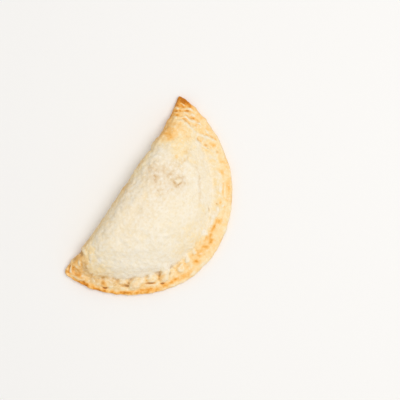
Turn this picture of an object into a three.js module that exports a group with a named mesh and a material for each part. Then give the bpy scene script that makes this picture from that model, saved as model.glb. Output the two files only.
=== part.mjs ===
// A baked half-moon empanada: a round of dough folded once over its filling, its
// open edge pressed flat and pinched into a rope of slanting crimps.
//
// Millimetres, +Z up. The fold runs along X at the back, the crimped rim bulges
// towards -Y, and the flat baked underside rests on Z = 0. The origin is the
// middle of the bounding box, on the underside.

import * as THREE from "three";
import { mergeVertices } from "three/addons/utils/BufferGeometryUtils.js";

const { clamp, lerp, smoothstep } = THREE.MathUtils;

// Rim: its radius about the middle of the fold, as a function of the angle from
// the slim horn at +X, round the front, to the blunt horn at -X.
const RIM_RADIUS = 70.4; // mean radius at the two horns
const RIM_BELLY = 5.9; // how much further the middle of the rim stands out
const RIM_DRIFT = 0.9; // how much longer the blunt horn's half of the fold is
const RIM_LEAN = 0.9; // how far the belly leans towards the blunt horn
const RIM_MEAN_RADIUS = 72.8; // the rim's whole length over pi

// Where the rim stands out, or below 0 is flattened: the place along it, half the
// length, and how far out.
const RIM_BUMPS = [
  [1.5, 3, 0.25],
  [6, 2.5, 0.6],
  [12.5, 2.6, 0.8],
  [23.3, 1.6, 0.6],
  [34, 24, 0.5],
  [61.5, 6.5, 0.5],
  [96.8, 18.9, -0.9],
  [131, 6, -0.5],
  [146, 16, 0.5],
  [186, 20, 0.4],
  [226, 6, -0.4],
];

// Fold: a nearly straight edge, slightly hollow.
const FOLD_END_Y = 0.5; // how far behind the rim's centre the fold's ends lie
const FOLD_HOLLOW = 2.3; // how far the fold's middle lies in front of its ends
const FOLD_REACH = 68; // half the length over which the hollow is measured
const FOLD_HOLLOW_POWER = 6;

// Where the fold is drawn in, or below 0 pushed out: X, half the width, how far.
const FOLD_TUCKS = [
  [-71, 3, 0.3],
  [-62, 4, -0.9],
  [-52, 3, 0.4],
  [-46.5, 6, -0.8],
  [-29, 6, 0.4],
  [-13, 4, 0.3],
  [6, 9, 0.9],
  [11.5, 3, 0.4],
  [25, 6.5, 1.1],
  [28.9, 1.8, 0.9],
  [43, 5, 1.2],
  [63.5, 5.5, -0.75],
  [69.5, 2.5, -0.5],
];

const SLIM_HORN_ROUNDING = 1.5; // along each side, from the sharp corner
const BLUNT_HORN_ROUNDING = 4.5;

// Heights above the underside.
const RIM_EDGE_HEIGHT = 2.4; // where the rim reaches out furthest
const FOLD_EDGE_HEIGHT = 9.5; // where the fold's rounded back reaches furthest
const FLANGE_TOP = 4.6; // top of the pressed flat border outside the crimps
const DOME_HEIGHT = 23.4; // top of the filling's dome over the flange

// Widths, measured inwards from the outline.
const RIM_LIP = 1.8; // rounding of the rim's upper edge
const RIM_UNDERCUT = 3.6; // how far in the underside's rounding runs at the rim
const FOLD_SHOULDER = 14; // how far in the rounded back rises to the top
const FOLD_UNDERCUT = 6; // how far in the underside's rounding runs at the fold
const FOLD_FADE = 34; // length over which the full back dies out at a horn
const THIN_SHARE = 0.25; // share of the back's widths left at the horns' points
const NOSE_LENGTH = 8; // width of a horn at which its point is fully rounded out
const BEHIND_ROPE = 3.4; // from the rope's middle inwards to the dome's foot
const HORN_DOME_FOOT = 5; // the foot's distance from the rim at the horns
const DOME_RUN = 44; // from the dome's foot to its full height
const DOME_FULLNESS = 2.3; // exponent of the dome's rise: more is fuller
const HORN_DOME_FULLNESS = 1.5; // the same at the horns, where it starts gently
const HORN_SPREAD = 45; // length of the rim over which the horns' values pass

// Rope of crimps between the flange and the dome. Its middle, as places along the
// rim and distances inwards from it.
const ROPE_COURSE = [
  [0, 5],
  [30, 8],
  [60, 10],
  [112, 9.8],
  [135, 9.6],
  [154, 9],
  [176, 7.4],
  [195, 6.6],
  [212, 5.8],
  [228, 5],
];
const BED_HEIGHT = 0.95; // how high the dough between the pads stands
const BED_OUTER = 3.3; // from the rope's middle outwards to the bed's edge
const BED_SLOPE = 1.6; // over half of which the bed rises
const BED_INNER_SHARE = 0.4; // of the bed's height, left behind the rope
const SOFT_SHARE = 0.6; // of the bed's height, where the crimps are soft
const FIRM_FROM = 140; // along the rim; the crimps are soft before
const FIRM_FADE = 25;
const HORN_FADE = 16; // over which the rope dies out at either horn
const PAD_MERGE = 3; // how sharply neighbouring pads part

// The pads: the middle along the rim and inwards from it, length, width, how many
// degrees the outer end runs on round the rim, and height.
const PADS = [
  [208.5, 6.8, 8, 5.4, 0, 0.6],
  [196.4, 6.7, 11, 7.8, 12, 1.5],
  [185.6, 8.8, 8.4, 5, 0, 0.9],
  [176.9, 7.5, 11.4, 7.6, 26, 2],
  [163.4, 10.2, 9.6, 6, 8, 1.3],
  [153.2, 11.2, 15.4, 7.2, 46, 2.3],
  [141.8, 9.2, 7.4, 5.8, 35, 1.2],
  [133.8, 11.6, 6.6, 4.8, 35, 1],
  [126.8, 10.8, 5, 3.8, 20, 0.8],
  [115, 11.2, 8, 4.6, 30, 0.4],
  [86, 11.6, 10, 6.6, 26, 0.4],
  [72.5, 9.4, 11, 5.6, 10, 0.6],
  [60, 10.6, 10, 6.6, 26, 0.4],
  [49, 9.4, 10, 5.6, 26, 0.4],
];

// Mesh: sections run from the fold to the rim, with rows closer at both edges.
const SECTIONS = 152;
const FOLD_ROWS = [0, 0.3, 1.2, 2.8, 5, 8, 12]; // inwards from the fold, on top
const RIM_ROWS = [13, 11.2, 9.5, 7.8, 6, 4.2, 2.2, 0.9, 0.2, 0]; // from the rim
const MIDDLE_ROWS = 5; // between those, on top
const UNDER_ROWS = [0, 0.03, 0.14, 0.35, 0.65, 1]; // shares of each undercut
const FULL_SECTION = 40; // a section shorter than this has its rows drawn closer

const CRUST = new THREE.MeshStandardMaterial({
  color: "#f2ddb8",
  roughness: 0.8,
  metalness: 0,
});

// Adds up smooth swellings, each with its place, half its width and its height.
function swellings(list, at) {
  const heights = list.map(([place, half, height]) => {
    return height * Math.exp(-(((at - place) / half) ** 2));
  });
  return heights.reduce((sum, height) => sum + height, 0);
}

// Rim radius at an angle from the slim horn.
function rimRadius(angle) {
  const belly = RIM_BELLY * Math.sin(angle) ** 3;
  const lean = RIM_LEAN * Math.sin(2 * angle);
  const bumps = swellings(RIM_BUMPS, angle * RIM_MEAN_RADIUS);
  return RIM_RADIUS - RIM_DRIFT * Math.cos(angle) + belly - lean + bumps;
}

function rimPoint(angle) {
  const radius = rimRadius(angle);
  return new THREE.Vector2(radius * Math.cos(angle), -radius * Math.sin(angle));
}

function foldY(x) {
  const hollow = 1 - Math.abs(x / FOLD_REACH) ** FOLD_HOLLOW_POWER;
  return FOLD_END_Y - FOLD_HOLLOW * hollow - swellings(FOLD_TUCKS, x);
}

// The rim between two angles, as a curve that can be divided evenly.
class RimCurve extends THREE.Curve {
  constructor(from, to) {
    super();
    this.from = from;
    this.to = to;
  }

  getPoint(t) {
    return rimPoint(lerp(this.from, this.to, t));
  }
}

// The fold between two places along X.
class FoldCurve extends THREE.Curve {
  constructor(from, to) {
    super();
    this.from = from;
    this.to = to;
  }

  getPoint(t) {
    const x = lerp(this.from, this.to, t);
    return new THREE.Vector2(x, foldY(x));
  }
}

// A horn's rounded point: the sharp corner, its two ends and the nose between.
function horn(angle, side, rounding) {
  const reach = rimPoint(angle).x;
  const corner = new THREE.Vector2(reach, foldY(reach));
  const onFold = corner.x - side * rounding;
  const onRim = angle + (side * rounding) / RIM_RADIUS;
  const fold = new THREE.Vector2(onFold, foldY(onFold));
  const rim = rimPoint(onRim);
  const foldHandle = fold.clone().lerp(corner, 0.5);
  const rimHandle = rim.clone().lerp(corner, 0.5);
  const nose = foldHandle.clone().lerp(rimHandle, 0.5);
  return { onFold, onRim, fold, rim, foldHandle, rimHandle, nose };
}

// The two long sides, each from the blunt horn's nose to the slim horn's.
function sides() {
  const blunt = horn(Math.PI, -1, BLUNT_HORN_ROUNDING);
  const slim = horn(0, 1, SLIM_HORN_ROUNDING);
  const fold = new THREE.CurvePath();
  fold.add(new THREE.QuadraticBezierCurve(blunt.nose, blunt.foldHandle, blunt.fold));
  fold.add(new FoldCurve(blunt.onFold, slim.onFold));
  fold.add(new THREE.QuadraticBezierCurve(slim.fold, slim.foldHandle, slim.nose));
  const rim = new THREE.CurvePath();
  rim.add(new THREE.QuadraticBezierCurve(blunt.nose, blunt.rimHandle, blunt.rim));
  rim.add(new RimCurve(blunt.onRim, slim.onRim));
  rim.add(new THREE.QuadraticBezierCurve(slim.rim, slim.rimHandle, slim.nose));
  return { fold, rim };
}

// A quarter ellipse: 0 at the edge, upright there, and 1 from the width inwards.
function rounded(distance, width) {
  const rest = 1 - clamp(distance / width, 0, 1);
  return Math.sqrt(1 - rest * rest);
}

// How full the back of the fold is: 0 at the horns' points, 1 along the middle.
function foldFullness(x) {
  return smoothstep(rimRadius(x > 0 ? 0 : Math.PI) - Math.abs(x), 0, FOLD_FADE);
}

// Length along the rim from the nearer horn's point.
function fromHorn(along) {
  return Math.min(along, RIM_MEAN_RADIUS * Math.PI - along);
}

// How far inwards from the rim the rope's middle runs, at a place along the rim.
function ropeMiddle(along) {
  const next = ROPE_COURSE.findIndex(([place]) => place >= along);
  if (next < 1) {
    return ROPE_COURSE.at(next)[1];
  }
  const [start, before] = ROPE_COURSE[next - 1];
  const [end, after] = ROPE_COURSE[next];
  return lerp(before, after, (along - start) / (end - start));
}

// Height of the filling's dome over the flange.
function dome(along, depth) {
  const spread = smoothstep(fromHorn(along), 0, HORN_SPREAD);
  const foot = lerp(HORN_DOME_FOOT, ropeMiddle(along) + BEHIND_ROPE, spread);
  const fullness = lerp(HORN_DOME_FULLNESS, DOME_FULLNESS, spread);
  const rest = 1 - clamp((depth - foot) / DOME_RUN, 0, 1);
  return DOME_HEIGHT * (1 - rest ** fullness);
}

// Height of one pad: a cushion that ends at its oval edge.
function pad([along, depth, length, width, degrees, height], at, inwards) {
  const turn = THREE.MathUtils.degToRad(degrees);
  const ahead = at - along;
  const aside = inwards - depth;
  const lengthwise = (ahead * Math.cos(turn) - aside * Math.sin(turn)) / (length / 2);
  const crosswise = (ahead * Math.sin(turn) + aside * Math.cos(turn)) / (width / 2);
  return height * Math.max(1 - lengthwise ** 2 - crosswise ** 2, 0);
}

// Height of the rope of crimps over the flange, at a length along the rim and a
// depth inwards from it.
function crimps(along, depth) {
  const fromMiddle = depth - ropeMiddle(along);
  const outer = smoothstep(fromMiddle, -BED_OUTER - BED_SLOPE, -BED_OUTER + BED_SLOPE);
  const behind = smoothstep(fromMiddle, BED_OUTER, BED_OUTER + 2 * BED_SLOPE);
  const inner = lerp(1, BED_INNER_SHARE, behind);
  const firm = lerp(SOFT_SHARE, 1, smoothstep(along, FIRM_FROM - FIRM_FADE, FIRM_FROM));
  const pads = PADS.map((each) => pad(each, along, depth) ** PAD_MERGE);
  const padded = pads.reduce((sum, height) => sum + height, 0) ** (1 / PAD_MERGE);
  const fade = smoothstep(fromHorn(along), 0, HORN_FADE);
  return fade * (BED_HEIGHT * outer * inner * firm + padded);
}

// Top of the empanada before its edges are rounded off.
function fullHeight(point) {
  const angle = Math.atan2(-point.y, point.x);
  const along = angle * RIM_MEAN_RADIUS;
  const depth = rimRadius(angle) - point.length();
  return FLANGE_TOP + dome(along, depth) + crimps(along, depth);
}

// One section between a point on the fold and a point on the rim.
class Section {
  constructor(fold, rim) {
    this.fold = fold;
    this.rim = rim;
    this.length = fold.distanceTo(rim);
    this.squeeze = Math.min(1, this.length / FULL_SECTION);
    this.nose = rounded(this.length, NOSE_LENGTH);
    this.fullness = foldFullness(fold.x);
    this.width = lerp(THIN_SHARE, 1, this.fullness);
    this.foldEdge = lerp(RIM_EDGE_HEIGHT, FOLD_EDGE_HEIGHT, this.fullness);
  }

  pointAt(fromFold) {
    const share = this.length > 0 ? fromFold / this.length : 0;
    return this.fold.clone().lerp(this.rim, share);
  }

  // Height of the widest line of the edge, carried across the section.
  edgeHeight(fromFold) {
    const share = this.length > 0 ? fromFold / this.length : 0;
    return lerp(this.foldEdge, RIM_EDGE_HEIGHT, share);
  }

  top(fromFold) {
    const flat = this.pointAt(fromFold);
    const edge = this.edgeHeight(fromFold);
    const back = rounded(fromFold, FOLD_SHOULDER * this.width);
    const lip = rounded(this.length - fromFold, RIM_LIP);
    const rise = (fullHeight(flat) - edge) * back * lip;
    return new THREE.Vector3(flat.x, flat.y, edge + rise * this.nose);
  }

  // A point of the underside's rounding, a share of the undercut inwards from
  // the edge that it starts at.
  under(fromFold, edge, share) {
    const flat = this.pointAt(fromFold);
    const drop = edge * rounded(share, 1) * this.nose;
    return new THREE.Vector3(flat.x, flat.y, edge - drop);
  }

  topRow() {
    const start = FOLD_ROWS.at(-1) * this.squeeze;
    const end = this.length - RIM_ROWS[0] * this.squeeze;
    const near = FOLD_ROWS.map((row) => row * this.squeeze);
    const far = RIM_ROWS.map((row) => this.length - row * this.squeeze);
    const between = [];
    for (let n = 1; n <= MIDDLE_ROWS; n += 1) {
      between.push(lerp(start, end, n / (MIDDLE_ROWS + 1)));
    }
    return [...near, ...between, ...far].map((row) => this.top(row));
  }

  underRow() {
    const rimUndercut = RIM_UNDERCUT * this.squeeze;
    const foldUndercut = FOLD_UNDERCUT * this.width * this.squeeze;
    const rimSide = UNDER_ROWS.map((share) =>
      this.under(this.length - rimUndercut * share, RIM_EDGE_HEIGHT, share),
    );
    const foldSide = UNDER_ROWS.map((share) =>
      this.under(foldUndercut * share, this.foldEdge, share),
    );
    return [...rimSide, ...foldSide.reverse()];
  }

  // Closed loop round the section: over the top and back along the underside.
  loop() {
    const over = this.topRow();
    const back = this.underRow();
    return [...over, ...back.slice(1, -1)];
  }
}

// The skin between neighbouring loops, without the triangles that the horns'
// noses close up.
function skin(loops) {
  const positions = [];
  const add = (...corners) => {
    const [a, b, c] = corners;
    const open = a.distanceTo(b) > 1e-4 && b.distanceTo(c) > 1e-4;
    if (open && c.distanceTo(a) > 1e-4) {
      corners.forEach((corner) => positions.push(...corner.toArray()));
    }
  };
  for (let i = 0; i + 1 < loops.length; i += 1) {
    const here = loops[i];
    const next = loops[i + 1];
    for (let j = 0; j < here.length; j += 1) {
      const k = (j + 1) % here.length;
      add(here[j], here[k], next[j]);
      add(here[k], next[k], next[j]);
    }
  }
  return positions;
}

function empanadaGeometry() {
  const { fold, rim } = sides();
  const foldPoints = fold.getSpacedPoints(SECTIONS);
  const rimPoints = rim.getSpacedPoints(SECTIONS);
  const loops = foldPoints.map((point, n) => new Section(point, rimPoints[n]).loop());
  const positions = new THREE.Float32BufferAttribute(skin(loops), 3);
  const loose = new THREE.BufferGeometry().setAttribute("position", positions);
  const geometry = mergeVertices(loose, 1e-3);
  geometry.computeBoundingBox();
  const middle = geometry.boundingBox.getCenter(new THREE.Vector3());
  geometry.translate(-middle.x, -middle.y, -geometry.boundingBox.min.z);
  geometry.computeVertexNormals();
  return geometry;
}

const empanada = new THREE.Mesh(empanadaGeometry(), CRUST);
empanada.name = "empanada";

const part = new THREE.Group();
part.add(empanada);

export default part;
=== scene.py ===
"""A baked half-moon empanada on a pale floor.

The form is worked out in millimetres, in the cook's own frame: the middle of the
fold is the origin, the fold runs along X and the crimped rim bulges towards -Y.
Places on the rim are told by two lengths: `along`, the way round the rim from the
slim horn's corner, and `depth`, the way inwards from the rim's edge.
"""

import itertools
import logging
import math
from dataclasses import dataclass, field
from enum import Enum

import bpy
import numpy as np
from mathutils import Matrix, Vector


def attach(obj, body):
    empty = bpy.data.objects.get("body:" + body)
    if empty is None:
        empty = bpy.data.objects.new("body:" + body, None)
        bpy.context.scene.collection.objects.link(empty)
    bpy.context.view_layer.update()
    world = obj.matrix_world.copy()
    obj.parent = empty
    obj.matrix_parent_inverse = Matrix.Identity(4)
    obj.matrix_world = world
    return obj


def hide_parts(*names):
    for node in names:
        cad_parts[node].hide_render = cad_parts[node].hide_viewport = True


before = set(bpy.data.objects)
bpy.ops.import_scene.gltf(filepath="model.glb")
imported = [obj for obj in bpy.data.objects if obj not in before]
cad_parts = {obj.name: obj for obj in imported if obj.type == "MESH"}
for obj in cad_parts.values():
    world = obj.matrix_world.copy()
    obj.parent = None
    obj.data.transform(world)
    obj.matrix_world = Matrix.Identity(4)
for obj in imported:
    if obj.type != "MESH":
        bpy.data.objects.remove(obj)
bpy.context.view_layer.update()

MM = 0.001
TINY = 1e-12  # keeps lengths of 0 out of divisions
NODE = "empanada"
PIECE = "empanada_crust"
BODY = "root"

Array = np.ndarray
log = logging.getLogger(NODE)


class Seed(Enum):
    """Seeds of the random reliefs, one for each thing that is uneven in its own way."""

    BANDS = 3
    RELIEF = 5
    FINE_RELIEF = 6
    STRAY = 9
    ASIDE = 21
    INWARDS = 22
    FLAPS = 31
    PADS = 33
    BLISTER = 41
    RING = 43


def smooth(share: Array) -> Array:
    """Eases a share between 0 and 1 in and out."""
    return share * share * (3.0 - 2.0 * share)


def ramp(value: Array, low: float, high: float) -> Array:
    """Gives a smooth step: 0 up to the low value, and 1 from the high one on."""
    return smooth(np.clip((value - low) / (high - low), 0.0, 1.0))


def mix(first: Array, second: Array, share: Array) -> Array:
    """Gives the value a share of the way from the first to the second."""
    return first + (second - first) * share


def bump(off: Array, half: Array) -> Array:
    """Gives a soft bump: 1 in the middle, fading smoothly past its half width."""
    return np.exp(-((off / half) ** 2))


def flat_spots(first: Array, second: Array) -> Array:
    """Puts flat places into the form that random relief is read in, at a height of 0."""
    return np.stack([first, second, np.zeros_like(first)], axis=-1)


def rounded(distance: Array, width: Array) -> Array:
    """Gives a quarter ellipse: 0 at an edge, where it is upright, and 1 a width inwards."""
    rest = 1.0 - np.clip(distance / np.maximum(width, TINY), 0.0, 1.0)
    return np.sqrt(np.maximum(1.0 - rest * rest, 0.0))


@dataclass
class Unevenness:
    """Smooth random relief: a repeating cube of random heights, blended in between."""

    seed: Seed
    cells: int = 32
    shift: float = 7.3  # in cells, so that the fold's middle isn't a corner of the cube
    # Turns each finer layer, so that the layers never line up.
    turn: tuple[tuple[float, float, float], ...] = (
        (0.36, 0.48, -0.8), (-0.8, 0.6, 0.0), (0.48, 0.64, 0.6),
    )

    def __post_init__(self) -> None:
        """Draws the cube's heights from the seed."""
        draw = np.random.default_rng(self.seed.value)
        self.heights = draw.uniform(-1.0, 1.0, (self.cells,) * 3)

    def at(self, points: Array, feature: float) -> Array:
        """Reads the relief at some points.

        Args:
            points: Places in millimetres, along the last axis.
            feature: Spacing of the random heights in millimetres.

        Returns:
            One height for each point, between -1 and 1.
        """
        scaled = points / feature + self.shift
        cell = np.floor(scaled).astype(int)
        share = smooth(scaled - cell)
        total = np.zeros(points.shape[:-1])
        for corner in itertools.product((0, 1), repeat=3):
            place = (cell + corner) % self.cells
            weight = np.prod(np.where(corner, share, 1.0 - share), axis=-1)
            total += weight * self.heights[place[..., 0], place[..., 1], place[..., 2]]
        return total

    def layered(self, points: Array, feature: float, layers: int) -> Array:
        """Adds finer and weaker copies of the relief to itself.

        Args:
            points: Places in millimetres, along the last axis.
            feature: Spacing of the coarsest heights in millimetres.
            layers: How many copies, each half as coarse and as high as the last.

        Returns:
            One height for each point, mostly between -1 and 1.
        """
        turn = np.array(self.turn)
        total = np.zeros(points.shape[:-1])
        strength = 0.0
        for layer in range(layers):
            total += self.at(points, feature / 2**layer) / 2**layer
            strength += 1.0 / 2**layer
            points = points @ turn.T
        return total / strength


@dataclass(frozen=True)
class Mark:
    """A soft oval patch, told in two lengths: along and inwards from the rim, or X and Y."""

    first: float
    second: float
    length: float
    width: float
    turn: float = 0.0  # degrees from the way of the first length, against the second
    strength: float = 1.0

    def across(self, first: Array, second: Array) -> tuple[Array, Array]:
        """Measures from the middle of the patch.

        Args:
            first: Lengths along the rim, or X.
            second: Lengths inwards from the rim, or Y.

        Returns:
            Distances along the patch and across it, in its own half lengths and widths.
        """
        turn = math.radians(self.turn)
        ahead = first - self.first
        aside = second - self.second
        lengthwise = ahead * math.cos(turn) - aside * math.sin(turn)
        crosswise = ahead * math.sin(turn) + aside * math.cos(turn)
        return lengthwise / (self.length / 2), crosswise / (self.width / 2)

    def soft(self, first: Array, second: Array) -> Array:
        """Gives the patch's strength, which fades smoothly past its edge."""
        lengthwise, crosswise = self.across(first, second)
        return self.strength * np.exp(-(lengthwise**2) - crosswise**2)

    def pad(self, first: Array, second: Array) -> Array:
        """Gives the patch as a cushion that ends at its edge: its strength in the middle."""
        lengthwise, crosswise = self.across(first, second)
        return self.strength * np.maximum(1.0 - lengthwise**2 - crosswise**2, 0.0)


@dataclass(frozen=True)
class Ridge:
    """A long fold of dough: it rises gently on its inner side and drops steeply outside."""

    course: tuple[tuple[float, float], ...]  # lengths along the rim, and inwards from it
    height: float
    inner_width: float = 1.5
    outer_width: float = 0.9
    crevice: float = 0.5  # its depth, as a share of the height
    fade: float = 3.0
    crevice_off: float = 2.0  # how far outside the crest it lies, in outer widths

    def rise(self, along: Array, depth: Array) -> Array:
        """Gives the fold's height, and the crevice outside it.

        Args:
            along: Lengths along the rim.
            depth: Depths inwards from it.

        Returns:
            The height, a little less than 0 in the crevice.
        """
        stations, depths = zip(*self.course)
        off = depth - np.interp(along, stations, depths)
        crest = bump(off, np.where(off > 0, self.inner_width, self.outer_width))
        crevice = bump(off / self.outer_width + self.crevice_off, 1.0)
        ends = ramp(along, stations[0] - self.fade, stations[0] + self.fade)
        ends = ends * (1.0 - ramp(along, stations[-1] - self.fade, stations[-1] + self.fade))
        return self.height * ends * (crest - self.crevice * crevice)


@dataclass(frozen=True)
class Blister:
    """A small bubble that the steam raised, with a browned ring at its foot."""

    x: float
    y: float
    radius: float
    height: float
    browned: float
    roundness: float = 0.7
    ragged: float = 0.55  # how uneven its edge is
    ragged_feature: float = 1.7
    ring_at: float = 1.3  # where the ring is darkest, in radii from the middle
    ring_width: float = 0.55
    ring_mean: float = 0.75
    ring_tilt: float = 0.3  # how much darker it is on its side to the rim
    ring_slant: float = 0.5  # and how far that side is turned towards the blunt horn
    ring_margin: float = 1.0  # which is softer on small blisters
    stroke_feature: float = 1.3  # the ring is broken into strokes about this long
    strokes: tuple[float, float] = (-0.6, 0.2)  # relief between which a stroke sets in

    def across(self, x: Array, y: Array) -> Array:
        """Gives how far flat places lie from its middle, in its own uneven radius."""
        ragged = Unevenness(Seed.BLISTER).at(flat_spots(x, y), self.ragged_feature)
        return np.hypot(x - self.x, y - self.y) / self.radius * (1.0 + self.ragged * ragged)

    def rise(self, x: Array, y: Array) -> Array:
        """Gives the bubble's height at flat places."""
        return self.height * np.maximum(1.0 - self.across(x, y) ** 2, 0.0) ** self.roundness

    def ring(self, x: Array, y: Array) -> Array:
        """Gives how far the foot has browned, most on its side to the rim.

        Args:
            x: Places along the fold.
            y: Places behind the middle of the fold.

        Returns:
            One value for each place.
        """
        outwards = y - self.y + self.ring_slant * (x - self.x)
        shade = self.ring_mean - self.ring_tilt * outwards / (self.radius + self.ring_margin)
        broken = Unevenness(Seed.RING).at(flat_spots(x, y), self.stroke_feature)
        shade = shade * ramp(broken, *self.strokes)
        return self.browned * shade * bump(self.across(x, y) - self.ring_at, self.ring_width)


@dataclass(frozen=True)
class Rim:
    """The pressed outer edge: a near half circle about the middle of the fold."""

    radius: float = 70.4
    belly: float = 5.9  # how much further the middle stands out
    drift: float = 0.9  # how much longer the blunt horn's side is
    lean: float = 0.9  # how far the belly leans towards the blunt horn
    mean_radius: float = 72.8  # the rim's whole length over pi
    wander: float = 0.7  # how far hand and oven have pushed places on the crust about
    wander_feature: float = 7.0
    wander_depth: tuple[float, float] = (0.5, 4.0)  # but not at the very edge
    # Where the edge stands out, or is flattened: lengths along, half lengths, how far out.
    bumps: tuple[tuple[float, float, float], ...] = (
        (1.5, 3.0, 0.25), (6.0, 2.5, 0.6), (12.5, 2.6, 0.8), (23.3, 1.6, 0.6),
        (34.0, 24.0, 0.5), (61.5, 6.5, 0.5), (96.8, 18.9, -0.9), (131.0, 6.0, -0.5),
        (146.0, 16.0, 0.5), (186.0, 20.0, 0.4), (190.4, 1.5, 0.4), (226.0, 6.0, -0.4),
    )

    def radius_at(self, angle: Array) -> Array:
        """Gives how far the rim lies from the middle of the fold.

        Args:
            angle: Round from the slim horn, in radians.

        Returns:
            The radius.
        """
        belly = self.belly * np.sin(angle) ** 3
        lean = self.lean * np.sin(2 * angle)
        along = angle * self.mean_radius
        bumps = sum(out * bump(along - at, half) for at, half, out in self.bumps)
        return self.radius - self.drift * np.cos(angle) + belly - lean + bumps

    def point(self, angle: Array) -> Array:
        """Gives the rim's point at an angle from the slim horn."""
        radius = self.radius_at(angle)
        return np.stack([radius * np.cos(angle), -radius * np.sin(angle)], axis=-1)

    def place(self, x: Array, y: Array) -> tuple[Array, Array]:
        """Turns flat places into lengths along and inwards from the rim.

        Args:
            x: Places along the fold.
            y: Places behind the middle of the fold.

        Returns:
            The lengths along the rim and the depths inwards from it.
        """
        angle = np.arctan2(-y, x)
        angle = np.where(angle < -math.pi / 2, angle + 2 * math.pi, angle)
        return angle * self.mean_radius, self.radius_at(angle) - np.hypot(x, y)

    def worked(self, x: Array, y: Array) -> tuple[Array, Array]:
        """Gives the same lengths as place, but as unevenly as hands lay things out.

        Args:
            x: Places along the fold.
            y: Places behind the middle of the fold.

        Returns:
            The lengths along the rim and the depths inwards from it.
        """
        along, depth = self.place(x, y)
        spots = flat_spots(x, y)
        inside = ramp(depth, *self.wander_depth)
        aside = Unevenness(Seed.ASIDE).layered(spots, self.wander_feature, 2)
        inwards = Unevenness(Seed.INWARDS).layered(spots, self.wander_feature, 2)
        return along + self.wander * aside * inside, depth + self.wander * inwards * inside

    def from_horn(self, along: Array) -> Array:
        """Gives the length along the rim from the nearer horn."""
        return np.minimum(along, self.mean_radius * math.pi - along)


@dataclass(frozen=True)
class Fold:
    """The nearly straight back, where the round of dough was folded over."""

    end_y: float = 0.5
    hollow: float = 2.3  # how far the middle lies in front of the ends
    reach: float = 68.0
    power: float = 6.0
    # Where the back is drawn in, or pushed out: places along it, half widths, how far in.
    tucks: tuple[tuple[float, float, float], ...] = (
        (69.5, 2.5, -0.5), (63.5, 5.5, -0.75), (43.0, 5.0, 1.2), (28.9, 1.8, 0.9),
        (25.0, 6.5, 1.1), (11.5, 3.0, 0.4), (6.0, 9.0, 0.9), (-13.0, 4.0, 0.3),
        (-29.0, 6.0, 0.4), (-46.5, 6.0, -0.8), (-52.0, 3.0, 0.4), (-62.0, 4.0, -0.9),
        (-71.0, 3.0, 0.3),
    )

    def y(self, x: Array) -> Array:
        """Gives how far back the fold's edge lies.

        Args:
            x: Places along the fold.

        Returns:
            One Y for each place.
        """
        hollow = 1.0 - np.abs(x / self.reach) ** self.power
        tucks = sum(deep * bump(x - middle, half) for middle, half, deep in self.tucks)
        return self.end_y - self.hollow * hollow - tucks


class Horn(Enum):
    """The two pointed ends, each with its side of X and its rounding in millimetres."""

    SLIM = (1, 1.5)
    BLUNT = (-1, 4.5)

    @property
    def side(self) -> int:
        """1 for the horn at +X, -1 for the one at -X."""
        return self.value[0]

    @property
    def rounding(self) -> float:
        """How far along each side the corner's rounding starts."""
        return self.value[1]


@dataclass(frozen=True)
class Corner:
    """A horn's rounded corner: a start, a handle and an end for each of its two curves."""

    x: float  # where the fold runs into it
    angle: float  # where the rim runs into it
    fold: Array
    rim: Array


@dataclass(frozen=True)
class Outline:
    """The whole outline, as two long sides from the blunt horn to the slim one."""

    rim: Rim = Rim()
    fold: Fold = Fold()
    samples: int = 1600
    corner_samples: int = 40

    def corner(self, horn: Horn) -> Corner:
        """Lays out a horn's rounded corner.

        Args:
            horn: Which horn.

        Returns:
            The corner.
        """
        angle = 0.0 if horn is Horn.SLIM else math.pi
        reach = self.rim.point(angle)[0]
        sharp = np.array([reach, self.fold.y(reach)])
        x = sharp[0] - horn.side * horn.rounding
        turn = angle + horn.side * horn.rounding / self.rim.radius
        on_fold = np.array([x, self.fold.y(x)])
        on_rim = self.rim.point(turn)
        handles = (on_fold + sharp) / 2, (on_rim + sharp) / 2
        nose = (handles[0] + handles[1]) / 2
        fold = np.array([nose, handles[0], on_fold])
        rim = np.array([nose, handles[1], on_rim])
        return Corner(x, turn, fold, rim)

    def bend(self, points: Array) -> Array:
        """Samples a quadratic curve.

        Args:
            points: Its start, its handle and its end.

        Returns:
            Places along the curve.
        """
        share = np.linspace(0.0, 1.0, self.corner_samples)[:, None]
        start, handle, end = points
        return (1 - share) ** 2 * start + 2 * share * (1 - share) * handle + share**2 * end

    @staticmethod
    def evenly(path: Array, count: int) -> Array:
        """Divides a path evenly.

        Args:
            path: Its points.
            count: How many steps to divide it into.

        Returns:
            One more point than there are steps.
        """
        steps = np.hypot(*np.diff(path, axis=0).T)
        run = np.concatenate([[0.0], np.cumsum(steps)])
        stops = np.linspace(0.0, run[-1], count + 1)
        return np.stack([np.interp(stops, run, path[:, axis]) for axis in (0, 1)], axis=-1)

    def sides(self, count: int) -> tuple[Array, Array]:
        """Gives both long sides, evenly divided.

        Args:
            count: How many steps along each side.

        Returns:
            The points of the fold's side and of the rim's side.
        """
        blunt = self.corner(Horn.BLUNT)
        slim = self.corner(Horn.SLIM)
        x = np.linspace(blunt.x, slim.x, self.samples)
        angle = np.linspace(blunt.angle, slim.angle, self.samples)
        fold = np.stack([x, self.fold.y(x)], axis=-1)
        rim = self.rim.point(angle)
        along_fold = [self.bend(blunt.fold)[:-1], fold, self.bend(slim.fold)[::-1][1:]]
        along_rim = [self.bend(blunt.rim)[:-1], rim, self.bend(slim.rim)[::-1][1:]]
        return (
            self.evenly(np.concatenate(along_fold), count),
            self.evenly(np.concatenate(along_rim), count),
        )

    def middle(self) -> Array:
        """Gives the middle of the outline's box, which is the part's origin."""
        points = np.concatenate(self.sides(self.samples))
        return (points.min(axis=0) + points.max(axis=0)) / 2


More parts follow.
